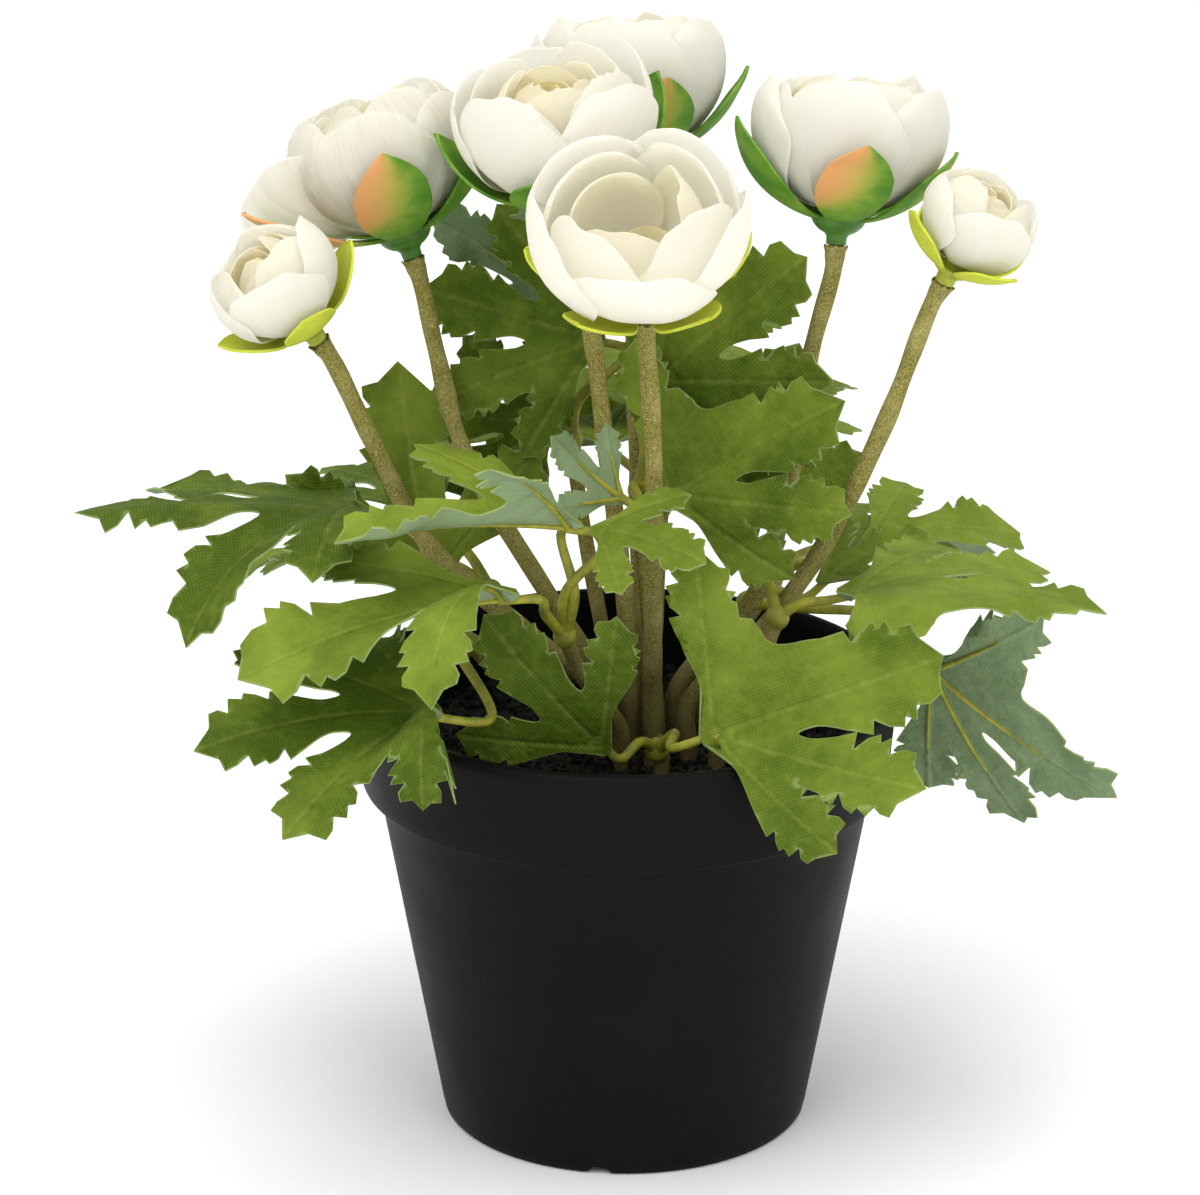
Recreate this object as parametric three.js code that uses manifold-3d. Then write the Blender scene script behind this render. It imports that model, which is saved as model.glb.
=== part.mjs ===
// A potted ranunculus of the made kind: seven cream blooms on flocked wire stems, sprays of cut fabric leaves
// on moulded leaf stalks, and a black nursery pot with a cement block and a layer of dark granules in it.
// Millimetres, +Z up. The origin is on the pot's axis, on the flat underside that the pot stands on.
// The front of the plant, where the nearest bloom hangs forward, faces -Y.

import * as THREE from 'three';
import { mergeVertices } from 'three/addons/utils/BufferGeometryUtils.js';
import Module from 'manifold-3d';

const wasm = await Module();
wasm.setup();

const DEG = Math.PI / 180;
const RUNNING_GAP = 0.3;

// The pot: a 12 cm nursery pot with a stepped band below its rim.
const POT = {
  height: 101,
  rimRadius: 60,
  bevelRadius: 58.9,
  bevelHeight: 1.8,
  bandHeight: 22.5,
  bandBottomRadius: 58,
  bodyTopRadius: 54.6,
  footRadius: 40.5,
  wall: 1.9,
  floor: 2.4,
  sides: 32,
};
const FOOT_NOTCH = { count: 4, width: 5.5, height: 1.5, depth: 3, firstAngle: -98 };

// What fills the pot.
const BALLAST_TOP = 70;
const SOIL_TOP = 86;
const SOIL_DOME = 1.4;
const STEM_DEPTH = 24;
const SPRAY_DEPTH = 15;
const STRAIGHT = 12;

// Stems, leaf stalks and sheet thicknesses.
const STEM_RADIUS = 2.1;
const STEM_TOP_RADIUS = 1.9;
const SPRAY_STEM_RADIUS = 1.9;
const STALK_RADIUS = 1.1;
const FORK_RADIUS = 2.4;
const BLADE_THICKNESS = 0.8;
const PETAL_THICKNESS = 0.8;
const SEPAL_THICKNESS = 0.8;

// The two cutting dies of the leaves. Angles are from the main lobe, positive to the left, and lengths and
// half widths are shares of the leaf's length. A sinus is the notch between two lobes.
const LEAF_FORMS = {
  broad: {
    lobes: [
      { angle: -76, length: 0.76, half: 0.14, teeth: 1 },
      { angle: -38, length: 0.93, half: 0.17, teeth: 2 },
      { angle: 0, length: 1.0, half: 0.21, teeth: 2 },
      { angle: 38, length: 0.93, half: 0.17, teeth: 2 },
      { angle: 76, length: 0.76, half: 0.14, teeth: 1 },
    ],
    sinuses: [0.43, 0.3, 0.3, 0.43],
  },
  split: {
    lobes: [
      { angle: -62, length: 0.76, half: 0.15, teeth: 2 },
      { angle: -33, length: 0.94, half: 0.165, teeth: 2 },
      { angle: 0, length: 1.0, half: 0.215, teeth: 3 },
      { angle: 76, length: 0.78, half: 0.14, teeth: 2 },
    ],
    sinuses: [0.44, 0.29, 0.42],
  },
  slender: {
    lobes: [
      { angle: -46, length: 0.8, half: 0.15, teeth: 1 },
      { angle: 0, length: 1.0, half: 0.21, teeth: 2 },
      { angle: 46, length: 0.8, half: 0.15, teeth: 1 },
    ],
    sinuses: [0.32, 0.32],
  },
};
const TAB_LENGTH = 0.06;
const TAB_HALF = 0.022;
const NECK_AT = 0.3;
const NECK_SHARE = 0.12;
const WIDEST_AT = 0.7;
const LAST_TOOTH_AT = 0.9;
const TOOTH_NOTCH = 0.045;

// Each flower: the top of its stem, the way it faces, its radius, and the stem's way up from the soil. Where the
// front petals are low, tips gives the angle that each petal of each whorl reaches.
const FLOWERS = [
  { name: 'back', seed: 12, radius: 21.5, kind: 'bloom', face: [-0.04, 0.28, 1], turn: 48, calyxTurn: 76,
    stem: [[3, 6], [3, 12, 125], [2, 22, 165], [1, 35, 203.5]] },
  { name: 'left', seed: 25, radius: 21, kind: 'bloom', face: [-0.3, 0.14, 0.92], turn: 52, calyxTurn: 56,
    loosePetal: 2, looseSepals: [1, 2],
    stem: [[-5, 3], [-15, 6, 115], [-35, 9, 150], [-41, 11, 172], [-46, 13, 193]] },
  { name: 'centre', seed: 31, radius: 21.5, kind: 'bloom', face: [-0.1, -0.14, 1], turn: 22,
    stem: [[1, -2], [0, -1, 120], [-4, 1, 152], [-8, 1, 184], [-12.5, 0, 204.5]] },
  { name: 'front', seed: 47, radius: 23, kind: 'bloom', face: [-0.06, -0.42, 0.9], turn: 0, tall: 0.92,
    sepalTip: 60, whorlTurns: [-18, 15, 0, 0],
    tips: [[116, 116, 116, 116, 90], [130, 130, 112, 116], [139, 139, 115], [128, 110]],
    stem: [[6, -12], [6, -14, 110], [6, -18, 130], [6, -25, 160], [4, -34, 194]] },
  { name: 'right', seed: 60, radius: 21, kind: 'bloom', face: [0.1, 0.2, 1], turn: 40, calyxTurn: 57,
    stem: [[11, 0], [28, 4, 118], [35, 6, 142], [40, 5, 174], [45, 3, 199]] },
  { name: 'right_bud', seed: 61, radius: 12.5, kind: 'bud', face: [0.42, -0.12, 0.86], turn: 10,
    stem: [[14, -7], [29, -7, 114], [42, -10, 134], [55, -15, 164], [67, -18, 197]] },
  { name: 'left_bud', seed: 73, radius: 14, kind: 'bud', face: [-0.5, -0.22, 0.82], turn: 0,
    stem: [[-4, -6], [-15, -7, 109], [-42, -10, 135], [-54, -14, 160], [-65, -18, 184]] },
];

// Petal whorls from the outside in. Each is cut in one piece, its petals joined by a flat eye. Radii are shares
// of the flower's radius, root and tip angles run up from the bottom pole of the globe, ups are the shares of a
// petal's length at which it is spread to the half angles, and tall stretches the inner whorls to full height.
const WHORLS = {
  bloom: [
    { count: 5, radius: 1.0, root: 19, tip: 116, ups: [0.33, 0.68, 1], half: [35, 47, 42], tall: 0.9, turn: 0 },
    { count: 4, radius: 0.82, root: 20, tip: 130, ups: [0.5, 1], half: [53, 48], tall: 0.94, turn: 30 },
    { count: 3, radius: 0.61, root: 26, tip: 139, ups: [0.5, 1], half: [66, 60], tall: 1.08, turn: 10 },
    { count: 2, radius: 0.36, root: 34, tip: 142, ups: [0.5, 1], half: [80, 74], tall: 1.5, turn: 50 },
  ],
  bud: [
    { count: 4, radius: 1.0, root: 24, tip: 124, ups: [0.33, 0.68, 1], half: [44, 57, 50], tall: 0.86, turn: 0 },
    { count: 3, radius: 0.7, root: 28, tip: 140, ups: [0.5, 1], half: [66, 58], tall: 1.02, turn: 40 },
  ],
};
const PETAL_COLUMNS = 3;
const WHORL_STEP = 1.15;
const TILE_SHIFT = 0.045;
const LOOSE_TIP = 94;
const LOOSE_FLARE = 0.3;
const SEPALS = {
  bloom: { count: 5, root: 15, tip: 82, half: 27 },
  bud: { count: 4, root: 18, tip: 76, half: 34 },
};
const SEPAL_CLEARANCE = 2.2;
const CALYX_FULL_RADIUS = 22;

// Sprays of leaves: the foot in the soil, the fork, and the leaves. Each leaf has the place where its stalk
// meets the blade, its main lobe's tip, the way its left side points, and the arch of its lobes in degrees.
const SPRAYS = [
  { name: 'left_front', foot: [-1, -13], fork: [-13, -22, 119], leaves: [
    { base: [-12, -33, 148], tip: [-61, -45, 148], left: [0.05, -1, -0.1], form: 'slender', arch: 20, fold: 0.1,
      lift: [10, 0, 40], droop: [0, 0, 10] },
    { base: [-26, -39, 134], tip: [-81, -57, 122], left: [0.1, -1, -0.2], form: 'slender', arch: 25, fold: 0.12,
      lift: [0, 0, 50], droop: [0, 0, 150] },
    { base: [-6, -33, 147], tip: [17, -46, 144], left: [0.5, 0.8, 0.5], form: 'slender', arch: 35, fold: 0.15 } ] },
  { name: 'front_foot', foot: [8, -19], fork: [7, -20, 92], leaves: [
    { base: [-5, -33, 98], tip: [-30, -33, 128], left: [-0.7, 0.1, -0.6], form: 'slender', arch: 25, fold: 0.1 },
    { base: [19, -47, 106], tip: [67, -47, 124], left: [-0.35, 0.3, 0.9], form: 'split', arch: 15, fold: 0.1,
      lift: [40, 25, 0, 0], droop: [80, 45, 0, 0] } ] },
  { name: 'left', foot: [-11, -2], fork: [-34, 2, 108], leaves: [
    { base: [-58, -4, 141], tip: [-119, -8, 142], left: [-0.2, -0.95, 0.2], form: 'broad', arch: 15, fold: 0.12,
      lift: [0, 0, 0, 0, 12], droop: [0, 0, 0, 62, 70] },
    { base: [-43, 15, 118], tip: [-50, 22, 167], left: [-1, 0.15, -0.2], form: 'slender', arch: 20, fold: 0.1 },
    { base: [-42, -42, 109], tip: [-91, -52, 104], left: [0.1, -0.92, -0.34], form: 'broad', arch: 30, fold: 0.1,
      lift: [0, 0, 0, 0, 60], droop: [40, 0, 0, 10, 200] } ] },
  { name: 'right', foot: [20, -12], fork: [33, -13, 120], leaves: [
    { base: [49, -13, 126], tip: [104, -16, 122], left: [-0.3, 0.93, -0.05], form: 'split', mirror: true,
      arch: 25, fold: 0.12, lift: [0, 0, 0, 10], droop: [0, 0, 0, 110] },
    { base: [24, 11, 136], tip: [38, 20, 172], left: [-1, 0, 0.2], form: 'slender', arch: 25, fold: 0.1 } ] },
  { name: 'centre', foot: [7, -5], fork: [3, 5, 143], leaves: [
    { base: [10, -6, 146], tip: [47, -12, 169], left: [-0.42, 0.42, 0.72], form: 'split', arch: 30, fold: 0.12,
      droop: [40, 0, 0, 0] },
    { base: [7, 9, 167], tip: [39, 5, 196], left: [-0.5, 0.4, 0.75], form: 'broad', arch: 25, fold: 0.1 },
    { base: [-1, -10, 146], tip: [-16, -12, 161], left: [0.7, 0.7, 0.2], form: 'slender', arch: 20, fold: 0.12 } ] },
  { name: 'upper_left', foot: [-3, 11], fork: [-12, 25, 148], leaves: [
    { base: [-7, 22, 172], tip: [-45, 30, 181], left: [-0.16, -0.4, -0.9], form: 'broad', arch: 25, fold: 0.1 },
    { base: [-16, 30, 150], tip: [-46, 34, 152], left: [-0.2, -0.3, -0.9], form: 'broad', arch: 30, fold: 0.1 },
    { base: [-14, 36, 176], tip: [-43, 42, 194], left: [0.4, -0.6, 0.8], form: 'slender', arch: 20, fold: 0.1 } ] },
  { name: 'right_back', foot: [17, 6], fork: [27, 13, 114], leaves: [
    { base: [68, 6, 101], tip: [109, 0, 73], left: [0.38, -0.54, 0.65], form: 'split', arch: 20, fold: 0.1 },
    { base: [44, 20, 117], tip: [68, 31, 124], left: [-0.3, 0.9, 0.2], form: 'slender', arch: 30, fold: 0.1 } ] },
  { name: 'back', foot: [6, 13], fork: [8, 32, 130], leaves: [
    { base: [14, 50, 142], tip: [26, 100, 146], left: [-1, 0.2, 0.1], form: 'broad', arch: 35, fold: 0.12 },
    { base: [-4, 48, 140], tip: [-24, 94, 132], left: [-0.9, -0.5, 0], form: 'broad', arch: 40, fold: 0.12 },
    { base: [10, 42, 160], tip: [20, 66, 190], left: [-1, 0.2, 0.1], form: 'slender', arch: 30, fold: 0.1 } ] },
  { name: 'back_left', foot: [-12, 8], fork: [-30, 26, 112], leaves: [
    { base: [-50, 42, 116], tip: [-92, 68, 98], left: [-0.5, -0.85, 0.1], form: 'broad', arch: 45, fold: 0.12 },
    { base: [-44, 44, 124], tip: [-70, 70, 126], left: [-0.6, -0.75, 0.1], form: 'slender', arch: 30, fold: 0.1 } ] },
  { name: 'back_right', foot: [13, 14], fork: [33, 34, 112], leaves: [
    { base: [46, 48, 116], tip: [82, 82, 100], left: [-0.7, 0.7, 0.1], form: 'broad', arch: 45, fold: 0.12 },
    { base: [54, 36, 118], tip: [90, 54, 116], left: [-0.3, 0.95, 0.2], form: 'slender', arch: 40, fold: 0.12 } ] },
];

const UP = new THREE.Vector3(0, 0, 1);
const vec = (a) => new THREE.Vector3(...a);

// A seeded draw between 0 and 1.
function randomSource(seed) {
  let state = seed >>> 0;
  return () => {
    state = (state + 0x6d2b79f5) >>> 0;
    let t = state;
    t = Math.imul(t ^ (t >>> 15), t | 1);
    t ^= t + Math.imul(t ^ (t >>> 7), t | 61);
    return ((t ^ (t >>> 14)) >>> 0) / 4294967296;
  };
}

const mix = (a, b, t) => a + (b - a) * t;
const smooth = (t) => t * t * (3 - 2 * t);

// A geometry from points and triangles.
function geometryOf(points, triangles) {
  const geometry = new THREE.BufferGeometry();
  geometry.setAttribute('position', new THREE.Float32BufferAttribute(points.flatMap((p) => [p.x, p.y, p.z]), 3));
  geometry.setIndex(triangles.flat());
  return geometry;
}

// A closed geometry as a solid that can be joined and cut.
function solidOf(geometry) {
  const bare = geometry.clone();
  bare.deleteAttribute('normal');
  bare.deleteAttribute('uv');
  const merged = mergeVertices(bare, 1e-4);
  let triVerts = new Uint32Array(merged.index.array);
  const make = () => new wasm.Manifold(new wasm.Mesh({
    numProp: 3, vertProperties: merged.attributes.position.array, triVerts }));
  const solid = make();
  if (solid.volume() > 0) return solid;
  triVerts = triVerts.slice().reverse();
  return make();
}

// A solid as a geometry.
function geometryFrom(solid) {
  const mesh = solid.getMesh();
  const geometry = new THREE.BufferGeometry();
  geometry.setAttribute('position', new THREE.BufferAttribute(new Float32Array(mesh.vertProperties), 3));
  geometry.setIndex(new THREE.BufferAttribute(new Uint32Array(mesh.triVerts), 1));
  return geometry;
}

// Joins solids and keeps the one body that they form, with any sealed hollow filled and loose scraps dropped.
function fuse(solids) {
  const joined = solids.reduce((all, solid) => all.add(solid));
  return joined.decompose().reduce((best, body) => (body.volume() > best.volume() ? body : best));
}

// A sheet of even thickness about a surface of points and triangles. Both faces have the same triangles.
function sheetGeometry(points, triangles, thickness) {
  const normals = points.map(() => new THREE.Vector3());
  const edges = new Map();
  for (const [a, b, c] of triangles) {
    const normal = points[b].clone().sub(points[a]).cross(points[c].clone().sub(points[a]));
    for (const corner of [a, b, c]) normals[corner].add(normal);
    for (const [from, to] of [[a, b], [b, c], [c, a]]) {
      if (edges.has(to + ',' + from)) edges.delete(to + ',' + from);
      else edges.set(from + ',' + to, [from, to]);
    }
  }
  const count = points.length;
  const half = thickness / 2;
  const upper = points.map((p, i) => p.clone().addScaledVector(normals[i].normalize(), half));
  const lower = points.map((p, i) => p.clone().addScaledVector(normals[i], -half));
  const faces = [];
  for (const [a, b, c] of triangles) faces.push([a, b, c], [count + a, count + c, count + b]);
  for (const [from, to] of edges.values()) {
    faces.push([from, count + from, count + to], [from, count + to, to]);
  }
  return geometryOf([...upper, ...lower], faces);
}

// A tapering tube with closed ends through the points.
function tubeGeometry(route, startRadius, endRadius, sides, steps) {
  const curve = new THREE.CatmullRomCurve3(route, false, 'centripetal');
  const points = [];
  let across = null;
  for (let i = 0; i <= steps; i++) {
    const along = i / steps;
    const centre = curve.getPointAt(along);
    const tangent = curve.getTangentAt(along);
    if (!across) across = new THREE.Vector3(1, 0.2, 0).cross(tangent).normalize();
    across.addScaledVector(tangent, -across.dot(tangent)).normalize();
    const other = tangent.clone().cross(across);
    const radius = mix(startRadius, endRadius, along);
    for (let k = 0; k < sides; k++) {
      const turn = (k / sides) * 2 * Math.PI;
      points.push(centre.clone()
        .addScaledVector(across, radius * Math.cos(turn))
        .addScaledVector(other, radius * Math.sin(turn)));
    }
  }
  const faces = [];
  for (let i = 0; i < steps; i++) {
    for (let k = 0; k < sides; k++) {
      const a = i * sides + k;
      const b = i * sides + ((k + 1) % sides);
      faces.push([a, b, b + sides], [a, b + sides, a + sides]);
    }
  }
  const last = steps * sides;
  for (let k = 1; k < sides - 1; k++) {
    faces.push([0, k + 1, k], [last, last + k, last + k + 1]);
  }
  return geometryOf(points, faces);
}

// A solid of revolution about Z from a profile of [radius, height] pairs.
function turned(profile, sides) {
  const points = profile.map(([radius, height]) => new THREE.Vector2(radius, height));
  return new THREE.LatheGeometry(points, sides).rotateX(Math.PI / 2);
}

// One edge of a lobe from its neck towards its tip, as [along, half width] pairs: a narrow neck, then
// forward-pointing teeth round a blunt end.
function lobeEdge(lobe, neckAt, neckHalf) {
  const edge = [[mix(neckAt, WIDEST_AT, NECK_AT), mix(neckHalf, lobe.half, NECK_SHARE)]];
  for (let tooth = 0; tooth < lobe.teeth; tooth++) {
    const at = mix(WIDEST_AT, LAST_TOOTH_AT, tooth / Math.max(1, lobe.teeth - 1));
    const fall = (at - WIDEST_AT) / (1 - WIDEST_AT);
    const half = lobe.half * Math.sqrt(1 - 0.85 * fall * fall);
    edge.push([at, half], [at + 0.03, half - TOOTH_NOTCH]);
  }
  return edge;
}

// Triangles between two chains of points that start apart and end at the same tip. Each chain holds
// [point index, along] pairs.
function zip(inner, outer, flip) {
  const faces = [];
  let i = 0;
  let j = 0;
  while (i < inner.length - 1 || j < outer.length - 1) {
    const goInner = j === outer.length - 1
      || (i < inner.length - 1 && inner[i + 1][1] <= outer[j + 1][1]);
    const face = goInner
      ? [inner[i][0], outer[j][0], inner[i + 1][0]]
      : [inner[i][0], outer[j][0], outer[j + 1][0]];
    if (new Set(face).size === 3) faces.push(flip ? [face[0], face[2], face[1]] : face);
    if (goInner) i++;
    else j++;
  }
  return faces;
}

// The flat outline of a leaf of length 1 with its stalk at the origin: points [x, y], and triangles that run from
// each lobe's rib to its edges. A small tab behind the origin takes the stalk.
function flatLeaf(form) {
  const { lobes, sinuses } = LEAF_FORMS[form];
  const points = [[0, 0]];
  const triangles = [];
  const add = (x, y) => points.push([x, y]) - 1;
  const tab = [add(-TAB_LENGTH, -TAB_HALF), add(-TAB_LENGTH, TAB_HALF)];
  triangles.push([0, tab[1], tab[0]]);
  const sinusPoints = sinuses.map((radius, i) => {
    const angle = ((lobes[i].angle + lobes[i + 1].angle) / 2) * DEG;
    return add(radius * Math.cos(angle), radius * Math.sin(angle));
  });
  lobes.forEach((lobe, i) => {
    const angle = lobe.angle * DEG;
    const along = [Math.cos(angle), Math.sin(angle)];
    const place = (t, w) => add(
      (t * along[0] - w * along[1]) * lobe.length,
      (t * along[1] + w * along[0]) * lobe.length);
    const rib = [[0, 0]];
    for (const t of [0.4, 0.72]) rib.push([place(t, 0), t]);
    const tip = place(1, 0);
    rib.push([tip, 1]);
    for (const side of [-1, 1]) {
      const sinusIndex = side < 0 ? i - 1 : i;
      const inside = sinusIndex >= 0 && sinusIndex < sinuses.length;
      let neckAt = 0.04;
      let neckHalf = 0.03;
      const edge = [];
      if (inside) {
        const [x, y] = points[sinusPoints[sinusIndex]];
        neckAt = (x * along[0] + y * along[1]) / lobe.length;
        neckHalf = Math.abs(y * along[0] - x * along[1]) / lobe.length;
        edge.push([sinusPoints[sinusIndex], neckAt]);
      } else {
        edge.push([side < 0 ? tab[0] : tab[1], 0]);
      }
      const scaled = { ...lobe, half: lobe.half / lobe.length };
      for (const [t, w] of lobeEdge(scaled, neckAt, neckHalf)) edge.push([place(t, side * w), t]);
      edge.push([tip, 1]);
      triangles.push(...zip(rib, edge, side > 0));
    }
  });
  return { points, triangles, lobes };
}

// How far a value set for each lobe applies at an angle from the main lobe.
function acrossLobes(lobes, values, angle) {
  if (angle <= lobes[0].angle) return values[0];
  for (let i = 1; i < lobes.length; i++) {
    if (angle <= lobes[i].angle) {
      const t = (angle - lobes[i - 1].angle) / (lobes[i].angle - lobes[i - 1].angle);
      return mix(values[i - 1], values[i], smooth(t));
    }
  }
  return values[lobes.length - 1];
}

// Bends a flat leaf: each ray from the stalk leaves the leaf's plane rising and arches back down, and each
// lobe is folded a little along its rib. Returns points in millimetres in the leaf's own frame.
function bendLeaf(flat, leaf, length) {
  const { lobes } = flat;
  const none = lobes.map(() => 0);
  const droops = leaf.droop || none;
  const lifts = leaf.lift || none;
  return flat.points.map(([x, y]) => {
    const radius = Math.hypot(x, y);
    if (x < 0 || radius < 1e-9) return new THREE.Vector3(x * length, y * length, 0);
    const angle = Math.atan2(y, x) / DEG;
    const arch = (leaf.arch + acrossLobes(lobes, droops, angle)) * DEG;
    const rise = (leaf.arch / 2 + acrossLobes(lobes, lifts, angle)) * DEG;
    const turn = arch * radius;
    const bend = Math.abs(arch) < 1e-6 ? 1e-6 : arch;
    const out = (Math.sin(rise) - Math.sin(rise - turn)) / bend;
    const high = (Math.cos(rise - turn) - Math.cos(rise)) / bend;
    const nearest = lobes.reduce((best, lobe) => (
      Math.abs(lobe.angle - angle) < Math.abs(best.angle - angle) ? lobe : best));
    const offRib = Math.abs(radius * Math.sin((angle - nearest.angle) * DEG));
    const folded = high + leaf.fold * offRib + (leaf.cup || 0) * Math.abs(y);
    return new THREE.Vector3(
      length * out * Math.cos(angle * DEG), length * out * Math.sin(angle * DEG), length * folded);
  });
}

// The chord of an arched main lobe, as a share of its length.
function chordShare(archDegrees) {
  const half = (archDegrees * DEG) / 2;
  return half < 1e-6 ? 1 : Math.sin(half) / half;
}

// A leaf's frame: x along the main lobe, y to the left (to the right for a mirrored leaf), z out of its upper face.
function leafFrame(leaf) {
  const forward = vec(leaf.tip).sub(vec(leaf.base)).normalize();
  const normal = forward.clone().cross(vec(leaf.left)).normalize();
  const left = normal.clone().cross(forward).multiplyScalar(leaf.mirror ? -1 : 1);
  return new THREE.Matrix4().makeBasis(forward, left, normal).setPosition(vec(leaf.base));
}

function bladeGeometry(leaf) {
  const length = vec(leaf.tip).distanceTo(vec(leaf.base)) / chordShare(leaf.arch);
  const flat = flatLeaf(leaf.form);
  const frame = leafFrame(leaf);
  const points = bendLeaf(flat, leaf, length).map((p) => p.applyMatrix4(frame));
  return sheetGeometry(points, flat.triangles, BLADE_THICKNESS);
}

// A moulded stalk from the fork to the under face of the blade.
function stalkGeometry(fork, leaf) {
  const frame = leafFrame(leaf);
  const base = vec(leaf.base);
  const span = base.distanceTo(fork);
  const end = new THREE.Vector3(-0.7, 0, -0.6).applyMatrix4(frame);
  const before = new THREE.Vector3(-0.3 * span, 0, -0.1 * span - 0.7).applyMatrix4(frame);
  const after = fork.clone().lerp(base, 0.3).addScaledVector(UP, 0.08 * span);
  return tubeGeometry([fork, after, before, end], STALK_RADIUS * 1.15, STALK_RADIUS * 0.85, 4, 3);
}

function sprayMesh(spray) {
  const fork = vec(spray.fork);
  const foot = new THREE.Vector3(...spray.foot, SOIL_TOP - SPRAY_DEPTH);
  const route = [foot, foot.clone().setZ(SOIL_TOP + 1), foot.clone().setZ(SOIL_TOP + 8),
    fork.clone().lerp(foot, 0.3).setZ(mix(fork.z, SOIL_TOP, 0.3)), fork];
  const solids = [
    solidOf(tubeGeometry(route, SPRAY_STEM_RADIUS, SPRAY_STEM_RADIUS * 0.85, 5, 4)),
    solidOf(new THREE.IcosahedronGeometry(FORK_RADIUS).translate(fork.x, fork.y, fork.z)),
  ];
  for (const leaf of spray.leaves) {
    solids.push(solidOf(stalkGeometry(fork, leaf)), solidOf(bladeGeometry(leaf)));
  }
  return mesh('leaf_spray_' + spray.name, geometryFrom(fuse(solids)), leafMaterial);
}

// How far a loose petal or sepal stands off the globe, as a share of its radius.
function looseStand(polar) {
  return LOOSE_FLARE * Math.pow((polar - 15) / 60, 1.5);
}

// A point of a stretched globe, by its angle up from the bottom pole and its turn about the axis.
function globePoint(radius, tall, centre, polar, turn) {
  return new THREE.Vector3(
    radius * Math.sin(polar * DEG) * Math.cos(turn * DEG),
    radius * Math.sin(polar * DEG) * Math.sin(turn * DEG),
    centre - radius * tall * Math.cos(polar * DEG));
}

// The quads between two rows of points, as triangles.
function rowTriangles(lower, upper) {
  const triangles = [];
  for (let i = 0; i < lower.length - 1; i++) {
    triangles.push([lower[i], lower[i + 1], upper[i + 1]], [lower[i], upper[i + 1], upper[i]]);
  }
  return triangles;
}

// The flat eye inside a ring of points, corner after corner, so that one plain triangle is left in its middle.
function eyeTriangles(rim) {
  const triangles = [];
  let ring = rim;
  while (ring.length > 3) {
    const kept = [];
    for (let i = 0; i < ring.length; i += 2) {
      kept.push(ring[i]);
      if (i + 1 < ring.length) triangles.push([ring[i], ring[(i + 2) % ring.length], ring[i + 1]]);
    }
    ring = kept;
  }
  if (ring.length === 3) triangles.push([ring[0], ring[2], ring[1]]);
  return triangles;
}

// A whorl of petals cut in one piece: a flat eye, and petals that rise along a stretched globe. One side of each
// petal stands out over the next petal. A loose petal stands away from all the others.
function whorlGeometry({ count, radius, tall, eye, root, tip, tips, ups, half, turn, tile, loosePetal, random }) {
  const centre = eye + radius * tall * Math.cos(root * DEG);
  const points = [];
  const triangles = [];
  const rim = [];
  for (let petal = 0; petal < count; petal++) {
    const azimuth = turn + (360 * petal) / count;
    const lean = (random() - 0.5) * 8;
    const loose = petal === loosePetal;
    const reach = tips ? tips[petal] : tip;
    const end = (loose ? LOOSE_TIP : reach) + (random() - 0.5) * 12;
    const row = (up, spread, shift) => {
      const indices = [];
      for (let column = 0; column <= PETAL_COLUMNS; column++) {
        const side = (2 * column) / PETAL_COLUMNS - 1;
        const polar = mix(root, end - (end - root) * 0.2 * Math.pow(side, 4), up);
        const stand = loose ? looseStand(polar) : shift * side;
        indices.push(points.push(globePoint(radius * (1 + stand), tall, centre, polar,
          azimuth + lean * up + side * spread)) - 1);
      }
      return indices;
    };
    let below = row(0, 180 / count - 7, 0);
    rim.push(...below);
    ups.forEach((up, i) => {
      const above = row(up, half[i], tile);
      triangles.push(...rowTriangles(below, above));
      below = above;
    });
  }
  triangles.push(...eyeTriangles(rim));
  return sheetGeometry(points, triangles, PETAL_THICKNESS);
}

// The sepals, cut in one piece round a flat eye. Each is pointed and hugs the globe of petals.
function sepalGeometry({ count, radius, tall, eye, root, tip, half, turn, looseSepals, random }) {
  const centre = eye + radius * tall * Math.cos(root * DEG);
  const points = [];
  const triangles = [];
  const rim = [];
  for (let sepal = 0; sepal < count; sepal++) {
    const azimuth = turn + (360 * sepal) / count;
    const lean = (random() - 0.5) * 12;
    const end = tip + (random() - 0.5) * 14;
    const flare = 0.1 * random();
    const row = (up, spread, sides) => sides.map((side) => {
      const polar = mix(root, end, up);
      const stand = looseSepals.includes(sepal) ? looseStand(polar) : flare * up * up;
      return points.push(globePoint(radius * (1 + stand), tall, centre, polar,
        azimuth + lean * up + side * spread)) - 1;
    });
    const lowest = row(0, 180 / count - 12, [-1, 0, 1]);
    const middle = row(0.45, half, [-1, 0, 1]);
    const upper = row(0.76, half * 0.68, [-1, 0, 1]);
    const [point] = row(1, 0, [0]);
    rim.push(...lowest);
    triangles.push(...rowTriangles(lowest, middle), ...rowTriangles(middle, upper));
    triangles.push([upper[0], upper[1], point], [upper[1], upper[2], point]);
  }
  triangles.push(...eyeTriangles(rim));
  return sheetGeometry(points, triangles, SEPAL_THICKNESS);
}

// The frame of a flower's head: its z is the way that the flower faces, and its origin is the stem's top.
function headFrame(flower) {
  const face = vec(flower.face).normalize();
  const turn = new THREE.Quaternion().setFromUnitVectors(UP, face);
  return new THREE.Matrix4().compose(vec(flower.stem.at(-1)), turn, new THREE.Vector3(1, 1, 1));
}

// The heights that a flower's petals and green cup share: the eyes of the sepals and of the outermost whorl.
function headSizes(flower) {
  const scale = flower.radius / CALYX_FULL_RADIUS;
  const petalEye = 4.6 + 4 * scale;
  const stretch = flower.tall || 1;
  return { scale, petalEye, sepalEye: petalEye - 2.2, stretch, globeTall: WHORLS[flower.kind][0].tall * stretch };
}

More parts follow.
